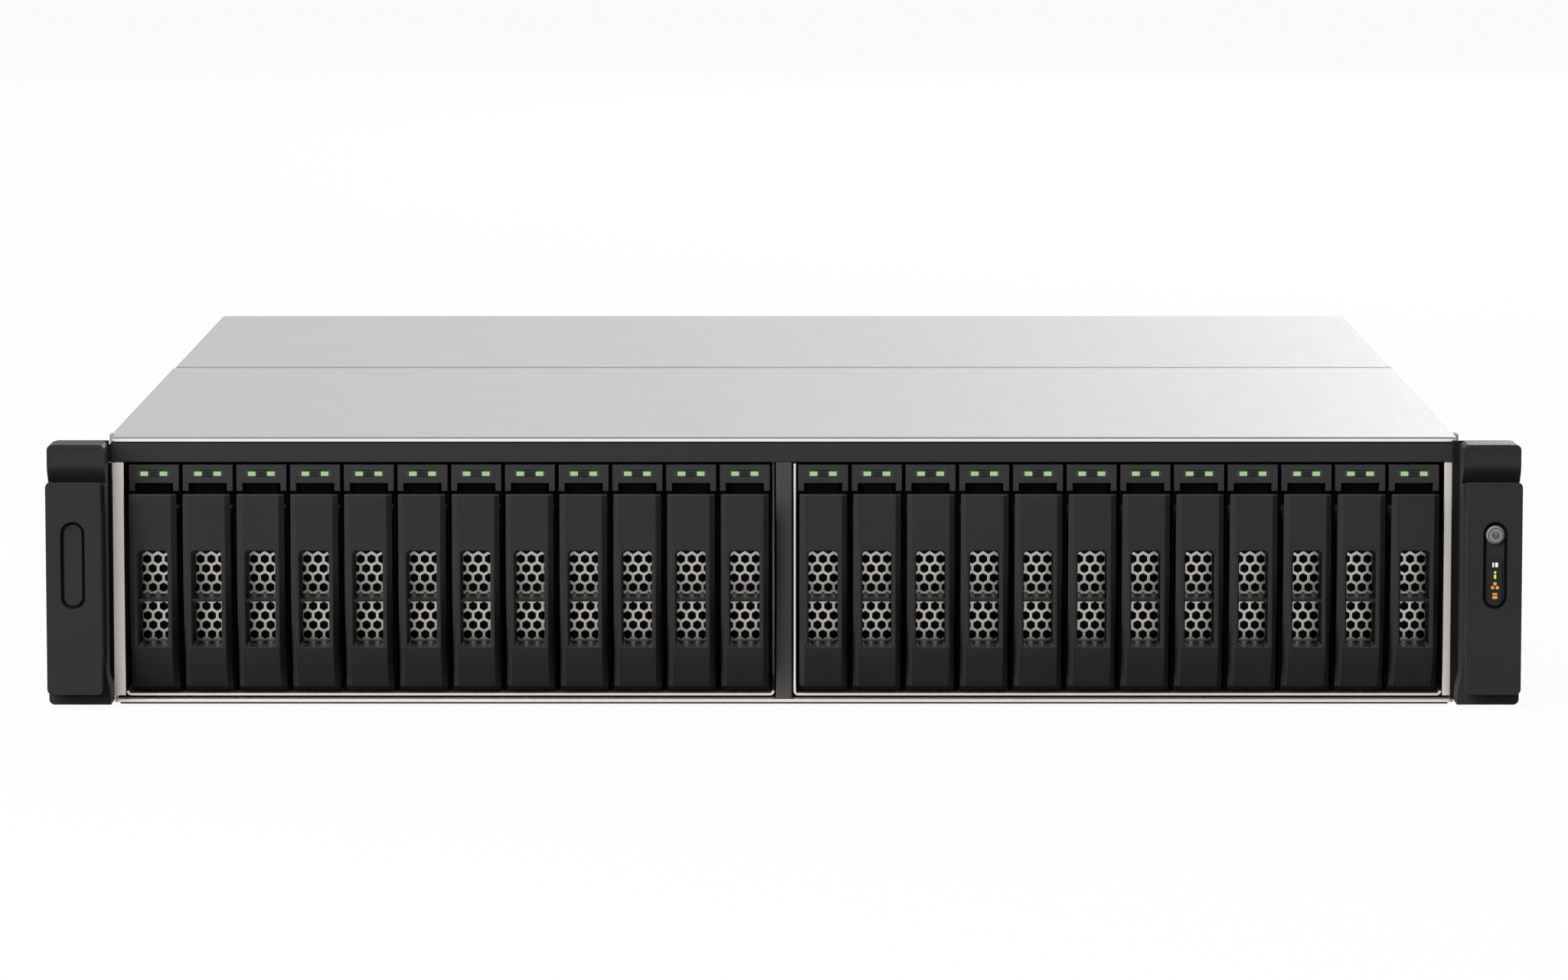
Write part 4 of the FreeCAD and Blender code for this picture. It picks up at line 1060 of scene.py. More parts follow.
@dataclass
class DriveCage:
    """Sheet cage of both drive groups, with the black rail above and the black post between them."""

    inner: float = 3.1
    outer: float = 217.29
    length: float = 117.0
    floor: float = 2.1
    roof: float = 79.3
    roof_front: float = 12.0
    gauge: float = 0.9
    bend: float = 1.5
    curl: float = 3.8
    setback: float = 40.0
    rail_half: float = 222.4
    rail_corner: float = 0.9
    rail: Span = (79.7, 86.0)
    rail_gauge: float = 1.2
    rail_return: float = 9.0
    post: float = 2.65
    post_depth: float = 6.0
    post_foot: float = 1.2
    strip: Span = (217.5, 221.45)
    strip_depth: Span = (-0.3, 0.6)
    strip_height: Span = (2.2, 79.68)
    lip_half: float = 219.8
    lip_depth: Span = (-4.0, -0.02)
    lip: Span = (0.38, 1.5)
    black_line_half: float = 219.0
    black_line_depth: Span = (-4.05, -0.02)
    black_line: Span = (0.0, 0.42)

    def tray_well(self, side: Side) -> Workpiece:
        """Folds the floor and walls of one group from a sheet and lays its roof on.

        Args:
            side: side of the case.

        Returns:
            The well.
        """
        across = side.span(self.inner, self.outer)
        well = block(f"cage_well_{side.label}", across, (0.0, self.length), (self.floor, self.roof))
        well.drop(lambda c, n: abs(n.y) > FACING or n.z > FACING)
        well.slice(UPWARD, self.curl).slice(REARWARD, self.setback)
        well.drop(lambda c, n: c.depth < self.setback and c.z > self.curl
                  and (side is Side.LEFT or c.x > self.inner + 1))
        well.round_edges(lambda a, b: along_depth(a, b) and same(a.z, self.floor), self.bend, 5)
        well.modify("SOLIDIFY", thickness=self.gauge * MM, offset=-1.0)
        roof = block("roof", across, (self.roof_front, self.length), (self.roof, self.roof + self.gauge))
        return well.join(roof).soften(0.15, 1).dress(STRIP_ZINC)

    def top_rail(self) -> Workpiece:
        """Folds the black rail over the trays.

        Returns:
            The rail.
        """
        rail = block("top_rail", span(self.rail_half), (0.0, self.rail_gauge), self.rail)
        fold = self.rail[1] - self.rail_gauge
        rail.slice(UPWARD, fold)
        rail.extrude(lambda c, n: n.y > FACING and c.z > fold, depth=self.rail_return - self.rail_gauge)
        rail.round_edges(lambda a, b: along_depth(a, b) and same(a.z, self.rail[1]), self.rail_corner)
        return rail.soften(0.5, 3).dress(POWDER_COAT)

    def build(self) -> None:
        """Makes the cage, the rail, the post, the front strips and the floor's lip with a thin black strip under
        it.
        """
        for side in Side:
            nodes = ("drive_cage",) if side is Side.LEFT else ()
            self.tray_well(side).settle(Slot.CAGE, *nodes)
        self.top_rail().settle(Slot.CAGE)
        post = block("middle_post", span(self.post), (0.0, self.post_depth), (self.post_foot, self.rail[0]))
        # The post gets the paler coat as painted light.
        post.soften(0.5, 3).dress(PAINTED_LIGHT_POST_COAT).settle(Slot.CAGE)
        for side in Side:
            strip = block(
                f"front_strip_{side.label}", side.span(*self.strip), self.strip_depth, self.strip_height)
            strip.soften(0.25).dress(STRIP_ZINC).settle(Slot.CHASSIS)
        lip = block("floor_lip", span(self.lip_half), self.lip_depth, self.lip)
        lip.soften(0.3, 3).dress(STRIP_ZINC).settle(Slot.CHASSIS)
        # A thin black strip lies under the floor's lip.
        black_line = block("floor_black_line", span(self.black_line_half), self.black_line_depth, self.black_line)
        black_line.soften(0.1, 1).dress(BLACK_NYLON_AND_PAINTED_SHADE).settle(Slot.CHASSIS)


@dataclass
class TopCovers:
    """The two folded covers that meet at the seam across the case."""

    half: float = 222.99
    rear_half: float = 222.49
    seam: float = 247.0
    rear: Span = (249.0, 468.0)
    top: float = 88.0
    skirt: float = 75.0
    gauge: float = 1.0
    bend: float = 1.4
    lip: float = 1.45
    lip_half: float = 221.4
    lip_corner: float = 1.2
    lip_bend: float = 0.5
    lip_fold: float = 0.75
    flange_front: float = 10.0
    slot_end: float = 16.0
    lip_shadow_depth: Span = (-0.06, 3.0)
    lip_shadow_strip: Span = (86.03, 86.5)

    def shell(self, name: str, half: float, depth: Span) -> Workpiece:
        """Starts a cover as a bare folded sheet of no thickness.

        Args:
            name: name of the piece.
            half: half its width.
            depth: span behind the front plane.

        Returns:
            The sheet.
        """
        cover = block(name, span(half), depth, (self.skirt, self.top))
        return cover.drop(lambda c, n: abs(n.y) > FACING or n.z < -FACING)

    def thicken(self, cover: Workpiece, half: float) -> Workpiece:
        """Rounds the long bends and gives the sheet its thickness.

        Args:
            cover: the bare sheet.
            half: half its width.

        Returns:
            The cover.
        """
        cover.round_edges(
            lambda a, b: along_depth(a, b) and same(a.z, self.top) and same(abs(a.x), half), self.bend)
        cover.modify("SOLIDIFY", thickness=self.gauge * MM, offset=-1.0, use_even_offset=True)
        return cover.soften(0.12, 1, 50.0).dress(COVER_ZINC)

    def on_lip(self, middle: Spot, normal: Vector) -> bool:
        """Tells whether a face looks out of the front cover's lip."""
        return normal.y < -0.3 and middle.depth < self.gauge

    def front_cover(self) -> Workpiece:
        """Folds the front cover, with its turned-down lip and a slit between top and flange at each front corner.

        Returns:
            The cover.
        """
        cover = self.shell("top_cover_front", self.half, (0.0, self.seam))
        cover.slice(ACROSS, -self.lip_half, self.lip_half).slice(REARWARD, self.flange_front, self.slot_end)
        cover.drop(lambda c, n: abs(c.x) > self.lip_half
                   and c.depth < (self.slot_end if n.z > FACING else self.flange_front))
        cover.work(
            Part.EDGE, lambda a, b: same(a.depth, 0) and same(b.depth, 0), bpy.ops.mesh.extrude_region_move,
            TRANSFORM_OT_translate={"value": (0, 0, -self.lip * MM)})
        cover.round_edges(
            lambda a, b: along_width(a, b) and same(a.depth, 0) and same(a.z, self.top), self.lip_bend)
        cover.work(
            Part.CORNER, lambda p: same(p.z, self.top - self.lip), bpy.ops.mesh.bevel,
            offset=self.lip_corner * MM, segments=5, affect="VERTICES")
        # The lip's front faces get a painted dark reflection on the fold and a painted highlight below it.
        self.thicken(cover, self.half).paint(PAINTED_REFLECTION_FOLD_ZINC, self.on_lip)
        return cover.paint(PAINTED_HIGHLIGHT_LIP_ZINC, lambda c, n: self.on_lip(c, n) and c.z <= self.top - self.lip_fold)

    def build(self) -> None:
        """Makes both covers, and a black strip under the front one's lip as its painted shadow."""
        self.front_cover().settle(Slot.COVER, "front_top_cover")
        # A black strip under the lip stands in for the lip's shadow.
        lip_shadow_strip = block("painted_lip_shadow", span(self.lip_half), self.lip_shadow_depth, self.lip_shadow_strip)
        lip_shadow_strip.soften(0.1, 1).dress(BLACK_NYLON_AND_PAINTED_SHADE).settle(Slot.COVER)
        rear = self.thicken(self.shell("top_cover_rear", self.rear_half, self.rear), self.rear_half)
        # The rear cover's front edge at the seam is painted black as the shade of the gap between the covers.
        rear.paint(BLACK_NYLON_AND_PAINTED_SHADE, lambda c, n: n.y < -0.5 and c.z > self.top - self.gauge)
        rear.settle(Slot.COVER, "rear_top_cover", body="rear_cover")


@dataclass
class RackEars:
    """Moulded ears on steel brackets, with a pocket in each and the controls in the right one."""

    wall: float = 221.19
    edge: float = 241.29
    lap: float = 222.39
    foot: float = 1.2
    top: float = 87.0
    bracket: float = -2.0
    bracket_corner: float = 2.5
    base: float = -15.0
    panel: float = -21.0
    panel_back: float = -9.0
    panel_inner: float = 223.39
    panel_foot: float = 5.3
    panel_top: float = 75.3
    corner: float = 1.0
    shoulder: float = 1.8
    valley: float = 5.0
    valley_top: float = 80.0
    valley_curve: float = 1.5
    valley_steps: int = 6
    valley_past: Size = (5.0, 9.0)  # what its cutter reaches past the ear, across and in front
    ledge_drop: float = 1.6
    toe: tuple[Span, ...] = ((1.2, 1.4), (5.4, 1.25), (7.0, 0.9), (8.6, 0.5), (11.4, 0.0))
    scoop: float = 6.0
    scoop_bite: float = 1.0
    scoop_span: Span = (8.0, 73.0)
    scoop_taper: tuple[Span, ...] = ((0.0, 3.2), (5.0, 0.9), (10.0, 0.0))
    label: Size = (16.8, 5.7)
    label_z: float = 83.0
    label_depth: float = 0.12
    label_corner: float = 1.2
    pocket_x: float = 232.54
    pocket_z: float = 47.9
    pocket: Size = (8.0, 28.9)
    pocket_floor: float = -18.0
    plate: Size = (6.0, 26.9)
    plate_drop: float = 1.2
    button_z: float = 57.9
    button_hole: Size = (3.3, 8.0)  # radius and length
    insert: Size = (4.6, 16.5)
    insert_z: float = 42.8
    insert_drop: float = 0.7
    mark_depth: Span = (-0.06, 0.2)  # from the insert's face
    mark_corner: float = 0.2
    hole: Size = (3.4, 6.0)  # radius and length
    hole_heights: Span = (5.9, 82.1)
    arm: Span = (-1.0, 34.0)
    arm_gauge: float = 1.2
    arm_height: Span = (8.0, 74.0)
    flange: Span = (220.0, -0.4)  # inner edge and back of the right bracket
    plain: Span = (221.39, 0.0)  # the same of the left one
    notch: Span = (220.0, 222.25)
    notch_height: Span = (79.6, 88.0)

    def valley_cutter(self) -> Workpiece:
        """Shapes the hollow between the label block and the panel, which sinks behind the panel's upper edge.

        Returns:
            The cutter, across both ears.
        """
        across, ahead = self.valley_past
        front, low = self.panel - ahead, self.panel_top - self.ledge_drop
        cutter = block("valley", span(self.edge + across), (front, self.base), (low, self.valley_top))
        tall = self.valley_top - low
        levels = [low + tall * i / self.valley_steps for i in range(self.valley_steps)]
        cutter.slice(UPWARD, *levels[1:])
        for z in levels:
            sunk = self.valley * ((self.valley_top - z) / tall) ** self.valley_curve
            cutter.shift(lambda p: same(p.z, z) and same(p.depth, self.base), depth=sunk)
        slope = self.ledge_drop / (self.base + self.valley - self.panel)
        rise = self.ledge_drop + slope * (self.panel - front)
        return cutter.shift(lambda p: same(p.z, low) and same(p.depth, front), z=rise)

    def scoop_cutter(self, side: Side) -> Workpiece:
        """Shapes the finger scoop, which tapers off towards both ends.

        Args:
            side: side of the case.

        Returns:
            The cutter.
        """
        low, high = self.scoop_span
        middle = Spot(side.value * (self.lap - self.scoop + self.scoop_bite), self.base, (low + high) / 2)
        cutter = rod("scoop", Axis.Z, middle, self.scoop, high - low, 40)
        ends = [reach for reach, way in self.scoop_taper[1:]]
        cutter.slice(UPWARD, *(low + reach for reach in ends), *(high - reach for reach in reversed(ends)))
        for reach, way in self.scoop_taper[:-1]:
            cutter.shift(lambda p: same(p.z, low + reach) or same(p.z, high - reach), x=-side.value * way)
        return cutter

    def moulding(self, side: Side) -> Workpiece:
        """Models one moulded ear.

        Args:
            side: side of the case.

        Returns:
            The ear.
        """
        ear = block(
            f"ear_{side.label}", side.span(self.lap, self.edge), (self.base, self.bracket), (self.foot, self.top))
        ear.round_edges(
            lambda a, b: along_depth(a, b) and not (same(abs(a.x), self.lap) and same(a.z, self.foot)),
            self.shoulder, 6)
        ear.slice(UPWARD, *(z for z, way in self.toe[1:]))
        for z, way in self.toe[:-1]:
            ear.shift(lambda p: same(p.z, z) and same(abs(p.x), self.lap), x=-side.value * way)
        panel = block(
            "panel", side.span(self.panel_inner, self.edge), (self.panel, self.panel_back),
            (self.panel_foot, self.panel_top))
        for x, radius in ((self.edge, self.shoulder), (self.panel_inner, self.corner)):
            panel.round_edges(lambda a, b: along_depth(a, b) and same(abs(a.x), x), radius, 6)
        ear.fuse(panel).cut(
            self.valley_cutter(), self.scoop_cutter(side),
            lozenge("pocket", side.value * self.pocket_x, self.pocket_z, self.pocket,
                    (self.panel - CLEAR, self.pocket_floor), self.pocket[0] / 2 - HAIR),
            lozenge("label_recess", side.value * (self.lap + self.edge) / 2, self.label_z, self.label,
                    (self.base - CLEAR, self.base + self.label_depth), self.label_corner))
        return ear.soften(0.5, 3, 28.0).dress(CHARCOAL)

    def bracket_plate(self, side: Side) -> Workpiece:
        """Models the steel bracket behind the ear, with its rack holes.

        The right one laps over the front strip, and the left one leaves room for the rail's end. Both reach inwards
        past the ear as dark coated sheet, which stands in for the shade beside the ear.

        Args:
            side: side of the case.

        Returns:
            The bracket.
        """
        # The inner edges reach past the ear so that the dark coat paints the shade beside it.
        inner, back = self.flange if side is Side.RIGHT else self.plain
        plate = block(
            f"ear_bracket_{side.label}", side.span(inner, self.edge), (self.bracket, back), (self.foot, self.top))
        plate.round_edges(lambda a, b: along_depth(a, b) and same(abs(a.x), self.edge), self.bracket_corner, 6)
        if side is Side.LEFT:
            plate.cut(block("rail_notch", side.span(*self.notch), (self.bracket - CLEAR, CLEAR), self.notch_height))
        for z in self.hole_heights:
            plate.cut(rod("hole", Axis.Y, Spot(side.value * self.pocket_x, self.bracket / 2, z), *self.hole))
        plate.fuse(block("arm", side.span(self.wall, self.wall + self.arm_gauge), self.arm, self.arm_height))
        return plate.soften(0.3).dress(BLACK_COAT_AND_PAINTED_SHADE)

    def status_window(self) -> Workpiece:
        """Models the status insert with its plain lit marks.

        Returns:
            The insert.
        """
        x, face = self.pocket_x, self.panel + self.insert_drop
        insert = lozenge(
            "status_insert", x, self.insert_z, self.insert, (face, self.pocket_floor), self.insert[0] / 2 - HAIR)
        insert.soften(0.2).dress(SMOKED_LENS)
        marks = [
            (-0.65, 48.1, (0.5, 1.5), WHITE_MARK), (0.45, 48.1, (0.9, 1.5), WHITE_MARK),
            (0, 45.6, (0.75, 0.75), LIME_MARK), (0, 44.2, (0.75, 1.4), LIME_MARK),
            (0, 41.9, (1.0, 1.0), AMBER_MARK), (-0.75, 40.6, (1.0, 1.0), AMBER_MARK),
            (0.75, 40.6, (1.0, 1.0), AMBER_MARK), (0, 38.5, (1.6, 0.6), AMBER_MARK),
            (0, 37.4, (1.6, 1.0), AMBER_MARK)]
        depth = (face + self.mark_depth[0], face + self.mark_depth[1])
        for offset, z, size, finish in marks:
            mark = lozenge("mark", x + offset, z, size, depth, self.mark_corner)
            insert.join(mark.smooth().dress(finish))
        return insert

    def build(self) -> None:
        """Makes both ears with their brackets, the plates in their pockets and the status insert."""
        for side in Side:
            nodes = ("rack_ears",) if side is Side.LEFT else ()
            self.moulding(side).settle(Slot.EAR, *nodes)
            self.bracket_plate(side).settle(Slot.EAR)
            x, depth = side.value * self.pocket_x, (self.panel + self.plate_drop, self.pocket_floor)
            plate = lozenge(
                f"pocket_plate_{side.label}", x, self.pocket_z, self.plate, depth, self.plate[0] / 2 - HAIR)
            if side is Side.RIGHT:
                plate.cut(rod("button_hole", Axis.Y, Spot(x, sum(depth) / 2, self.button_z), *self.button_hole))
            plate.soften(0.4, 3).dress(CHARCOAL).settle(Slot.EAR)
        self.status_window().settle(Slot.EAR)


@dataclass
class PowerButton:
    """Round push button with a printed ring and a barred disc."""

    x: float = 232.54
    z: float = 57.9
    radius: float = 3.1
    front: float = -21.0
    back: float = -19.2
    rim: float = 0.45
    rim_drop: float = 0.7
    ring: Span = (2.15, 2.55)
    disc: float = 1.35
    bar: Size = (0.5, 1.5)
    bar_rise: float = 0.9
    print_depth: float = 0.1
    print_lift: float = 0.02

    def build(self) -> None:
        """Makes the button."""
        middle = Spot(self.x, (self.front + self.back) / 2, self.z)
        face = Spot(self.x, self.front - self.print_lift, self.z)
        inside = self.radius - self.rim / 2
        cap = rod("button_cap", Axis.Y, middle, self.radius, self.back - self.front, 48)
        cap.work(Part.FACE, lambda c, n: n.y < -FACING, bpy.ops.mesh.inset, thickness=self.rim * MM, depth=0.0)
        cap.shift(lambda p: same(p.depth, self.front) and hypot(p.x - self.x, p.z - self.z) > inside,
                  depth=self.rim_drop)
        cap.soften(0.12).dress(FROSTED_CAP)
        ring = rod("ring", Axis.Y, face, self.ring[1], self.print_depth)
        ring.cut(rod("bore", Axis.Y, face, self.ring[0], CLEAR))
        disc = rod("disc", Axis.Y, face, self.disc, self.print_depth)
        disc.cut(lozenge("bar", self.x, self.z + self.bar_rise, self.bar, span(CLEAR, self.front), 0.1))
        cap.join(ring.smooth().dress(GREY_PRINT), disc.smooth().dress(GREY_PRINT))
        cap.settle(Slot.BUTTON, "power_button", body="power_button")


@dataclass
class Electronics:
    """Backplane with a plug for each drive, and the main board with heat sink, memory and rear sockets."""

    backplane: Span = (121.5, 123.5)
    backplane_half: float = 217.29
    backplane_z: Span = (1.5, 71.5)
    vent: Size = (11.0, 12.0)
    vent_z: float = 62.0
    vent_corner: float = 3.0
    plug: Span = (114.5, 121.5)
    plug_half: float = 2.5
    plug_z: Span = (11.12, 53.12)
    plug_mouth: Size = (0.8, 5.0)  # rim and depth
    board_x: Span = (-213.99, 132.99)
    board_depth: Span = (205.5, 464.8)
    board_z: Span = (7.2, 9.2)
    board_corner: float = 3.0
    sink_x: float = -68.26
    sink_half: float = 45.0
    sink_depth: Span = (217.5, 301.5)
    sink_base: float = 6.0
    sink_top: float = 61.2
    fins: int = 9
    fin: float = 2.0
    memory_x: tuple[float, ...] = (-13.86, -4.46, 4.94, 14.34)
    memory_depth: Span = (217.5, 350.9)
    memory_slot: float = 1.5
    memory_slot_top: float = 15.0
    card: float = 0.6
    card_depth: Span = (218.5, 349.9)
    card_corner: float = 1.5
    card_z: Span = (11.0, 43.2)
    chips: int = 8
    chip: Size = (1.4, 5.5)  # half its thickness and length
    chip_z: Span = (22.0, 33.0)
    socket_depth: Span = (450.0, 468.0)
    sockets: tuple[tuple[float, float, float], ...] = (  # middle, half width and top
        (-184.89, 7.1, 19.8), (-141.59, 8.0, 20.4), (-96.09, 7.5, 16.8))
    socket_gap: float = 7.0
    socket_mouth: Size = (1.2, 11.0)  # rim and depth
    tongue: Size = (2.6, 1.6)  # distance from the sides and thickness
    tongue_depth: Span = (456.0, 466.0)
    post_x: tuple[float, ...] = (-201.99, -40.5, 120.99)
    post_depth: Span = (217.5, 452.8)
    post_z: float = 4.2
    post: Size = (2.9, 6.0)  # radius and length

    def backplane_board(self, bays: Bays) -> Workpiece:
        """Models the backplane with an air opening above each plug.

        Args:
            bays: place across of each bay, by number.

        Returns:
            The board.
        """
        through = (self.backplane[0] - CLEAR, self.backplane[1] + CLEAR)
        board = block("backplane_board", span(self.backplane_half), self.backplane, self.backplane_z)
        vents = [lozenge("vent", x, self.vent_z, self.vent, through, self.vent_corner) for x in bays.values()]
        return board.cut(vents[0].join(*vents[1:])).soften(0.15, 1).dress(GREEN_BOARD)

    def drive_plug(self) -> Workpiece:
        """Models the plug of one drive, with its open mouth."""
        plug = block("drive_plug", span(self.plug_half), self.plug, self.plug_z)
        return plug.hollow(-1, *self.plug_mouth).soften(0.2, 1).dress(BLACK_NYLON_AND_PAINTED_SHADE)

    def heat_sink(self) -> Workpiece:
        """Models the heat sink by drawing its fins out of the base.

        Returns:
            The heat sink.
        """
        wide, foot = span(self.sink_half, self.sink_x), self.board_z[1]
        base = foot + self.sink_base
        sink = block("heat_sink", wide, self.sink_depth, (foot, base))
        pitch = (2 * self.sink_half - self.fin) / (self.fins - 1)
        starts = [wide[0] + i * pitch for i in range(self.fins)]
        edges = [x + step for x in starts for step in (0.0, self.fin)]
        sink.slice(ACROSS, *edges[1:-1])
        sink.extrude(
            lambda c, n: n.z > FACING and any(same(c.x, x + self.fin / 2) for x in starts),
            z=self.sink_top - base)
        return sink.soften(0.25, 1).dress(CAST_ALUMINIUM)

    def memory_module(self) -> Workpiece:
        """Models one memory module with its chips in a slot.

        Returns:
            The module.
        """
        front, back = self.memory_depth
        module = block(
            "memory_module", span(self.memory_slot), self.memory_depth, (self.board_z[1], self.memory_slot_top))
        card = block("card", span(self.card), self.card_depth, self.card_z)
        card.round_edges(lambda a, b: along_width(a, b) and same(a.z, self.card_z[1]), self.card_corner, 3)
        module.soften(0.3).dress(BLACK_NYLON_AND_PAINTED_SHADE).join(card.smooth().dress(GREEN_BOARD))
        for i in range(self.chips):
            depth = span(self.chip[1], front + (back - front) * (i + 0.5) / self.chips)
            chip = block("chip", span(self.chip[0]), depth, self.chip_z)
            module.join(chip.soften(0.25, 1).dress(BLACK_NYLON_AND_PAINTED_SHADE))
        return module

    def rear_socket(self, name: str, x: Span, top: float) -> Workpiece:
        """Models one rear socket: a bright shell with a dark tongue in its mouth.

        Args:
            name: name of the piece.
            x: span across.
            top: height of its top.

        Returns:
            The socket.
        """
        foot, (inset, thick) = self.board_z[1], self.tongue
        middle = (foot + top) / 2
        shell = block(name, x, self.socket_depth, (foot, top)).hollow(1, *self.socket_mouth)
        tongue = block("tongue", (x[0] + inset, x[1] - inset), self.tongue_depth, (middle, middle + thick))
        return shell.soften(0.3).dress(GRILLE_STEEL).join(tongue.soften(0.2, 1).dress(BLACK_NYLON_AND_PAINTED_SHADE))

    def build(self, bays: Bays) -> None:
        """Makes all boards and what stands on them.

        Args:
            bays: place across of each bay, by number.
        """
        self.backplane_board(bays).settle(Slot.BOARD, "circuit_boards")
        board = block("main_board", self.board_x, self.board_depth, self.board_z)
        board.round_edges(upright, self.board_corner)
        board.soften(0.15, 1).dress(GREEN_BOARD).settle(Slot.BOARD)
        self.heat_sink().settle(Slot.BOARD)
        patterns = {
            "drive_plug": (self.drive_plug(), bays.values()),
            "memory_module": (self.memory_module(), self.memory_x)}
        for name, (pattern, places) in patterns.items():
            for number, x in enumerate(places, 1):
                pattern.copy(f"{name}_{number:02d}", x).settle(Slot.BOARD)
            pattern.scrap()
        for kind, (x, half, top) in enumerate(self.sockets, 1):
            socket = self.rear_socket(f"rear_socket_{kind}a", span(half, x), top)
            pair = socket.copy(f"rear_socket_{kind}b", 2 * half + self.socket_gap)
            for piece in (socket, pair):
                piece.settle(Slot.BOARD)
        for number, x in enumerate(self.post_x, 1):
            for row, depth in enumerate(self.post_depth, 1):
                post = rod(f"board_post_{number}{row}", Axis.Z, Spot(x, depth, self.post_z), *self.post, 6)
                post.soften(0.3, 1).dress(GRILLE_STEEL).settle(Slot.BOARD)


@dataclass
class Fans:
    """Two axial fans: a frame with struts behind the duct, and a rotor with cambered blades."""

    across: float = 95.0
    z: float = 41.5
    half: float = 40.0
    depth: Span = (145.5, 183.5)
    corner: float = 3.0
    strut_front: float = 178.5
    strut: float = 2.0
    bore: float = 37.8
    hole: float = 2.2
    hole_offset: float = 35.75
    through: float = 60.0
    hub: float = 15.0
    hub_depth: Span = (154.0, 178.0)
    dish: Size = (4.0, 0.6)  # rim and depth of the hub's front
    shaft: float = 2.0
    shaft_play: float = 0.1
    blades: int = 7
    blade: float = 0.7
    root: float = 13.0
    tip: float = 36.5
    chord: float = 7.86
    rise: float = 5.5
    camber: Span = (0.8, 1.1)

    def frame(self) -> Workpiece:
        """Models one frame at the middle of the case.

        Returns:
            The frame.
        """
        front, back = self.depth
        wide, tall, behind = span(self.half), span(self.half, self.z), (self.strut_front, back)
        middle = Spot(0, (front + back) / 2, self.z)
        piece = block("fan_frame", wide, (front, self.strut_front), tall)
        piece.round_edges(along_depth, self.corner)
        piece.cut(rod("duct", Axis.Y, middle, self.bore, self.through, 64))
        for x in span(self.hole_offset):
            for z in span(self.hole_offset, self.z):
                piece.cut(rod("hole", Axis.Y, Spot(x, middle.depth, z), self.hole, self.through, 16))
        level = block("struts", wide, behind, span(self.strut, self.z))
        post = block("upright", span(self.strut), behind, tall)
        boss = rod("boss", Axis.Y, Spot(0, sum(behind) / 2, self.z), self.hub, back - self.strut_front, 40)
        bore = rod("bore", Axis.Y, middle, self.shaft + self.shaft_play, self.through, 24)
        return piece.fuse(level.fuse(post, boss).cut(bore)).soften(0.4).dress(FAN_PLASTIC)

    def cambered_blade(self, middle: float) -> Workpiece:
        """Models the blade to the right of the hub.

        Args:
            middle: depth of its middle.

        Returns:
            The blade.
        """
        blade = block("blade", (self.root, self.tip), span(self.chord, middle), span(self.blade, self.z))
        blade.round_edges(lambda a, b: upright(a, b) and same(a.x, self.tip), self.corner)
        blade.slice(REARWARD, *(middle + share * self.chord for share in (-0.5, 0.0, 0.5)))
        for side in Side:
            way = side.value
            blade.shift(lambda p: (p.depth - middle) * way > 0.6 * self.chord, z=way * self.rise)
            blade.shift(lambda p: same(p.depth - middle, way * 0.5 * self.chord),
                        z=way * self.rise / 2 + self.camber[0])
        blade.shift(lambda p: same(p.depth, middle), z=self.camber[1])
        return blade.soften(0.3, 2, 50.0).dress(FAN_PLASTIC)

    def rotor(self) -> Workpiece:
        """Models one rotor at the middle of the case.

        Returns:
            The rotor.
        """
        front, back = self.hub_depth
        end = self.depth[1]
        centre = Spot(0, (front + back) / 2, self.z)
        rotor = rod("fan_rotor", Axis.Y, centre, self.hub, back - front, 48)
        rim, drop = self.dish
        rotor.work(Part.FACE, lambda c, n: n.y < -FACING, bpy.ops.mesh.inset, thickness=rim * MM, depth=-drop * MM)
        stub = rod("shaft", Axis.Y, Spot(0, (back + end) / 2, self.z), self.shaft, end - back)
        rotor.soften(0.8, 3).dress(FAN_PLASTIC).join(stub.soften(0.2, 1).dress(GRILLE_STEEL))
        blade = self.cambered_blade(centre.depth)
        rotor.join(*(blade.turned("blade", centre, i * 360 / self.blades) for i in range(self.blades)))
        blade.scrap()
        return rotor

    def build(self) -> None:
        """Makes both fans."""
        frame_piece, rotor = self.frame(), self.rotor()
        for side in Side:
            nodes = ("fan_frames",) if side is Side.LEFT else ()
            x = side.value * self.across
            frame_piece.copy(f"fan_frame_{side.label}", x).settle(Slot.FAN, *nodes)
            rotor.copy(f"fan_rotor_{side.label}_dressed", x).settle(
                Slot.FAN, f"fan_rotor_{side.label}", body=f"cooling_fan_{side.label}")
        frame_piece.scrap()
        rotor.scrap()


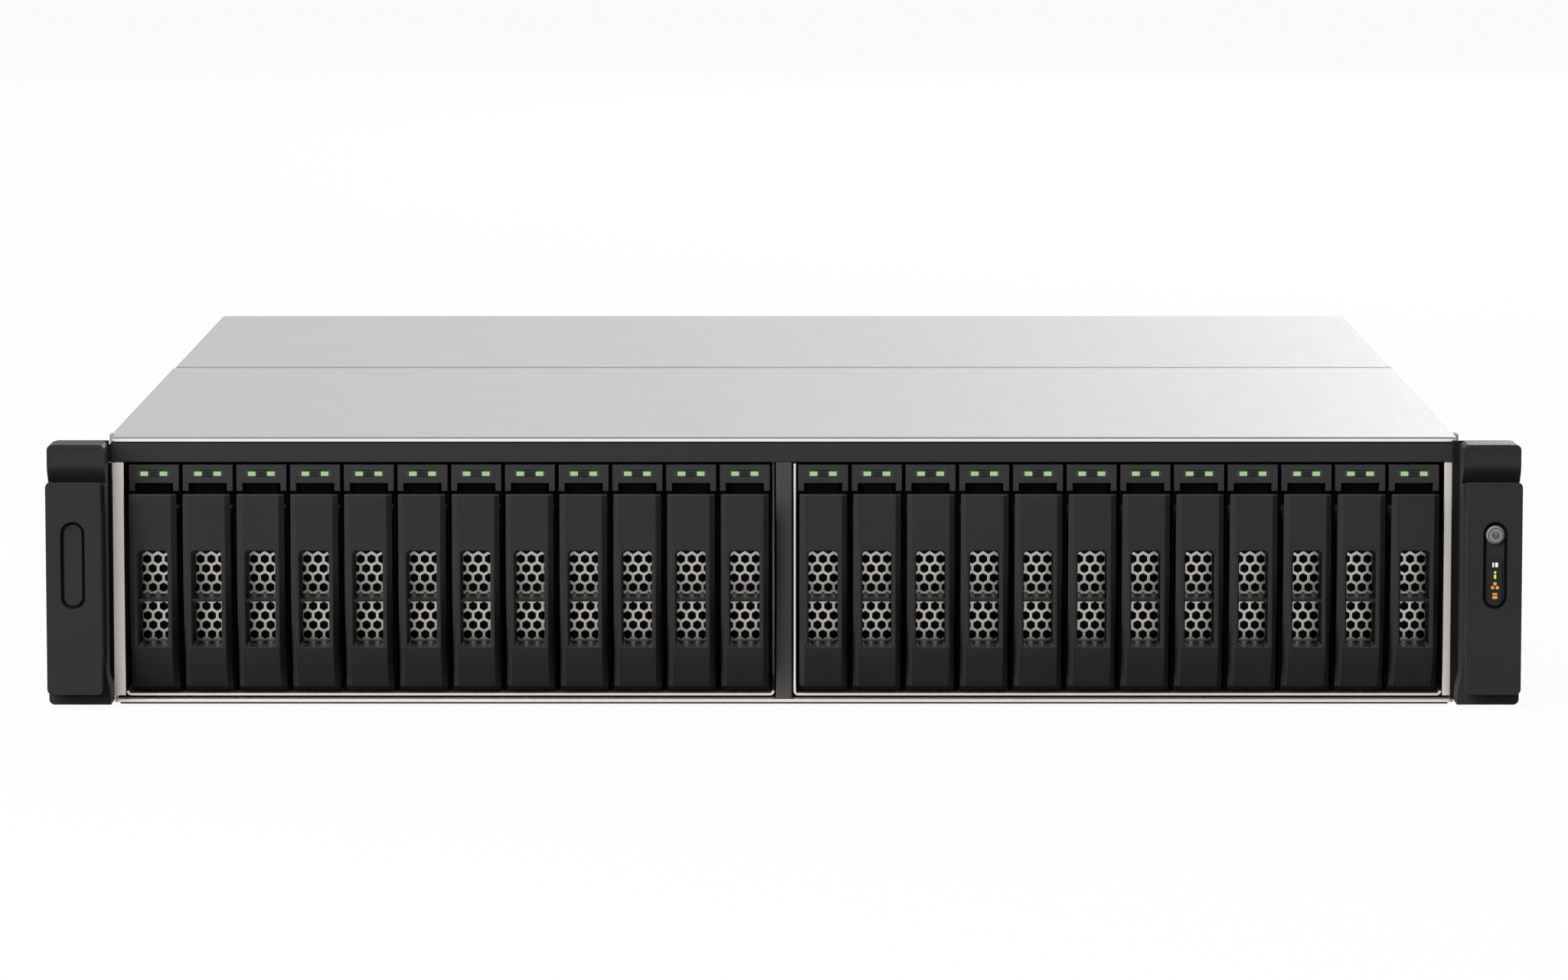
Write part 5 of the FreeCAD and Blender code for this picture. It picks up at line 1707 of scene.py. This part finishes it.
@dataclass
class PowerSupplies:
    """Two plug-in supplies: sheet case with vents, mains inlet, pull handle and release tab at the rear."""

    middle: float = 177.24
    half: float = 36.75
    depth: Span = (283.0, 468.0)
    z: Span = (1.5, 41.5)
    corner: float = 1.2
    pitch: float = 41.8
    inlet: Size = (24.0, 17.0)
    inlet_x: float = 157.24
    inlet_depth: float = 16.0
    inlet_corner: float = 1.5
    cup_back: float = 467.8
    cup_mouth: Size = (1.6, 13.0)  # rim and depth
    pin: Size = (1.8, 4.0)
    pin_depth: Span = (454.0, 464.0)
    pin_corner: float = 0.4
    pins: tuple[Span, ...] = ((-6.5, -1.5), (0.0, 2.0), (6.5, -1.5))
    handle: float = 4.5
    handle_x: float = 181.24
    handle_half: float = 17.0
    handle_reach: float = 26.0
    bar: float = 5.0
    bend: float = 3.5
    tab: Span = (171.6, 175.4)
    tab_size: float = 6.0
    tab_slope: float = 4.0
    vent: Size = (3.0, 26.0)
    vent_x: float = 198.24
    vents: int = 5
    vent_pitch: float = 5.2
    vent_depth: float = 8.0
    vent_corner: float = 1.45

    def case(self, level: float) -> Workpiece:
        """Models the sheet case with its vents and the inlet's opening.

        Args:
            level: height of its middle.

        Returns:
            The case.
        """
        back = self.depth[1]
        case = block("supply", span(self.half, self.middle), self.depth, self.z)
        case.round_edges(along_depth, self.corner, 3)
        first = self.vent_x - (self.vents - 1) / 2 * self.vent_pitch
        for i in range(self.vents):
            x = first + i * self.vent_pitch
            case.cut(lozenge(
                "vent", x, level, self.vent, (back - self.vent_depth, back + CLEAR), self.vent_corner))
        case.cut(lozenge(
            "mouth", self.inlet_x, level, self.inlet, (back - self.inlet_depth, back + CLEAR), self.inlet_corner))
        return case.soften(0.25, 1).dress(CHASSIS_ZINC)

    def socket(self, level: float) -> Workpiece:
        """Models the mains inlet: a dark cup with three pins.

        Args:
            level: height of its middle.

        Returns:
            The inlet.
        """
        back, x = self.depth[1], self.inlet_x
        cup = lozenge("cup", x, level, self.inlet, (back - self.inlet_depth, self.cup_back), self.inlet_corner)
        cup.hollow(1, *self.cup_mouth).soften(0.3).dress(BLACK_NYLON_AND_PAINTED_SHADE)
        for offset, rise in self.pins:
            pin = lozenge("pin", x + offset, level + rise, self.pin, self.pin_depth, self.pin_corner)
            cup.join(pin.soften(0.2, 1).dress(GRILLE_STEEL))
        return cup

    def grip(self, level: float) -> Workpiece:
        """Models the pull handle and the release tab beside it.

        Args:
            level: height of its middle.

        Returns:
            The handle.
        """
        back, end = self.depth[1], self.depth[1] + self.handle_reach
        grip = block("grip", span(self.handle, self.handle_x), (back, end), span(self.handle_half, level))
        grip.cut(block(
            "opening", span(self.handle + CLEAR, self.handle_x), (back - CLEAR, end - self.bar),
            span(self.handle_half - self.bar, level)))
        grip.round_edges(lambda a, b: along_width(a, b) and same(a.depth, end), self.bend, 5)
        tab = block("tab", self.tab, (back, back + self.tab_size), span(self.tab_size, level))
        tab.shift(lambda p: same(p.depth, back + self.tab_size) and p.z > level, z=-self.tab_slope)
        return grip.soften(0.8, 3).dress(BLACK_NYLON_AND_PAINTED_SHADE).join(tab.soften(0.5).dress(TAB_PLASTIC))

    def build(self) -> None:
        """Makes both supplies."""
        level = sum(self.z) / 2
        pattern = self.case(level).join(self.socket(level), self.grip(level))
        for name, rise in (("lower", 0.0), ("upper", self.pitch)):
            supply = pattern.copy(f"supply_{name}", 0.0, rise)
            supply.settle(Slot.SUPPLY, f"psu_module_{name}", body=f"ac_supply_{name}")
        pattern.scrap()


@dataclass
class Fasteners:
    """Cross-head screws on the rear panel and headed studs for slide rails on both sides."""

    rear: float = 468.0
    wall: float = 221.19
    head: Size = (2.7, 1.4)  # radius and length
    dome: float = 0.8
    cross: Size = (1.5, 0.3)  # half its length and width
    cross_foot: float = 0.6
    places: tuple[Span, ...] = (
        (120.99, 83.2), (100.67, 83.2), (80.35, 83.2), (60.03, 83.2), (-214.0, 83.2), (-110.0, 83.2), (20.0, 83.2),
        (-214.0, 40.0), (20.0, 8.0), (-214.0, 6.0))
    stud: Size = (2.2, 2.0)  # radius and length
    stud_head: float = 1.2
    studs: tuple[float, ...] = (90.0, 200.0, 310.0, 420.0)
    stud_z: float = 38.0

    def build(self) -> None:
        """Makes all screws and studs."""
        radius, length = self.head
        screw = rod("screw", Axis.Y, Spot(0, self.rear + length / 2, 0), radius, length, 24)
        screw.round_edges(lambda a, b: min(a.depth, b.depth) > self.rear + length / 2, self.dome, 3)
        deep = (self.rear + self.cross_foot, self.rear + length + CLEAR)
        for wide, tall in (self.cross, self.cross[::-1]):
            screw.cut(block("cross", span(wide), deep, span(tall)))
        screw.smooth().dress(GRILLE_STEEL)
        for number, (x, z) in enumerate(self.places, 1):
            screw.copy(f"rear_screw_{number:02d}", x, z).settle(Slot.CHASSIS)
        screw.scrap()
        for side in Side:
            for number, depth in enumerate(self.studs, 1):
                place = Spot(side.value * (self.wall + self.stud[1] / 2), depth, self.stud_z)
                stud = rod(f"rail_stud_{side.label}_{number}", Axis.X, place, *self.stud, 24)
                stud.work(
                    Part.FACE, lambda c, n: n.x * side.value > FACING, bpy.ops.mesh.inset,
                    thickness=-self.stud_head * MM, depth=0.0)
                stud.soften(0.2, 1).dress(GRILLE_STEEL).settle(Slot.CHASSIS)


@dataclass
class Studio:
    """Pale floor, soft light and the camera at the photograph's angle."""

    lens: float = 160.45
    sensor: float = 36.0
    eye: Place = (0.0, -2.5253, 0.32375)
    pitch: float = 6.314
    reach: float = 60.0
    ambient: float = 0.2
    floor_size: float = 40.0
    floor_drop: float = 0.0002
    floor_tone: Span = (0.76, 0.16)
    floor_white: float = 0.95

    def camera(self) -> None:
        """Sets up the camera."""
        bpy.ops.object.camera_add(location=self.eye, rotation=(radians(90 - self.pitch), 0, 0))
        camera = bpy.context.active_object
        camera.name = "camera"
        camera.data.lens = self.lens
        camera.data.sensor_width = self.sensor
        camera.data.sensor_fit = "HORIZONTAL"
        camera.data.clip_end = self.reach
        bpy.context.scene.camera = camera

    def seen(self, tree: bpy.types.NodeTree) -> bpy.types.NodeSocket:
        """Tells camera, mirror and glass rays from the light that falls on the object.

        Args:
            tree: node tree that needs it.

        Returns:
            A socket that is one for the rays that see the background.
        """
        path = add_node(tree, "LightPath")
        ray = path["Is Camera Ray"]
        for kind in ("Is Glossy Ray", "Is Transmission Ray"):
            ray = add_node(tree, "Math", {0: ray, 1: path[kind]}, operation="MAXIMUM")["Value"]
        return ray

    def surroundings(self) -> None:
        """Sets up the white backdrop and the soft light from all round."""
        world = bpy.data.worlds.new("studio")
        bpy.context.scene.world = world
        world.use_nodes = True
        tree = world.node_tree
        tree.nodes.clear()
        soft, white = (
            add_node(tree, "Background", {"Color": WHITE, "Strength": strength})["Background"]
            for strength in (self.ambient, 1.0))
        mix = add_node(tree, "MixShader", {0: self.seen(tree), 1: soft, 2: white})["Shader"]
        add_node(tree, "OutputWorld", {"Surface": mix})

    def floor(self) -> None:
        """Lays the pale floor, which keeps a faint shadow."""
        bpy.ops.object.select_all(action="DESELECT")
        bpy.ops.mesh.primitive_plane_add(size=self.floor_size, location=(0, 0, -self.floor_drop))
        floor = bpy.context.active_object
        floor.name = "floor"
        material = bpy.data.materials.new("pale_paper")
        material.use_nodes = True
        tree = material.node_tree
        tree.nodes.clear()
        seen, (more, least) = self.seen(tree), self.floor_tone
        tone = add_node(tree, "Math", {0: seen, 1: more, 2: least}, operation="MULTIPLY_ADD")["Value"]
        paper = add_node(tree, "BsdfDiffuse", {"Color": tone})["BSDF"]
        white = add_node(tree, "Emission", {"Color": WHITE, "Strength": 1.0})["Emission"]
        share = add_node(tree, "Math", {0: seen, 1: self.floor_white}, operation="MULTIPLY")["Value"]
        mix = add_node(tree, "MixShader", {0: share, 1: paper, 2: white})["Shader"]
        add_node(tree, "OutputMaterial", {"Surface": mix})
        floor.data.materials.append(material)

    def lamp(self, name: str, place: Place, aim: Place, size: float, power: float) -> None:
        """Hangs a square soft light.

        Args:
            name: name of the lamp.
            place: where it hangs, in metres.
            aim: the place that it faces.
            size: its side in metres.
            power: its power in watts.
        """
        way = Vector(aim) - Vector(place)
        bpy.ops.object.light_add(type="AREA", location=place, rotation=way.to_track_quat("-Z", "Y").to_euler())
        lamp = bpy.context.active_object
        lamp.name = name
        lamp.data.energy = power
        lamp.data.size = size
        lamp.visible_camera = False

    def build(self) -> None:
        """Sets up the whole studio."""
        bpy.context.scene.view_settings.view_transform = "Standard"
        self.camera()
        self.surroundings()
        self.floor()
        self.lamp("key_light", (-1.5, -1.9, 2.2), (-0.1, 0, 0.04), 2.0, 74.0)
        self.lamp("left_light", (-1.8, -2.0, 0.8), (0, 0, 0.04), 1.0, 22.0)
        self.lamp("rear_light", (1.6, 3.3, 0.85), (0.2, 0, 0.08), 2.0, 125.0)


def repaint(name: str, finish: Finish) -> None:
    """Gives a CAD node that stays its finish.

    Args:
        name: name of the node.
        finish: its finish.
    """
    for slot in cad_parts[name].material_slots:
        slot.material = finish.material()
    LOG.info("%s keeps its solid", name)


def bay_places() -> Bays:
    """Reads the place across of each bay from the frame.

    Returns:
        Middle of each tray in millimetres, by number.
    """
    places = {}
    for number in range(1, BAYS + 1):
        low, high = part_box(f"drive_tray_{number:02d}")
        places[number] = (low[0] + high[0]) / 2 / MM
    return places


def main() -> None:
    """Builds the sub-assemblies in order."""
    logging.basicConfig(level=logging.INFO, format="%(name)s: %(message)s")
    bays = bay_places()
    Levers().build(bays)
    Trays().build(bays)
    DriveCage().build()
    TopCovers().build()
    RackEars().build()
    PowerButton().build()
    Electronics().build(bays)
    Fans().build()
    PowerSupplies().build()
    Fasteners().build()
    repaint("chassis_base", CHASSIS_ZINC)
    Studio().build()


if __name__ == "__main__":
    main()
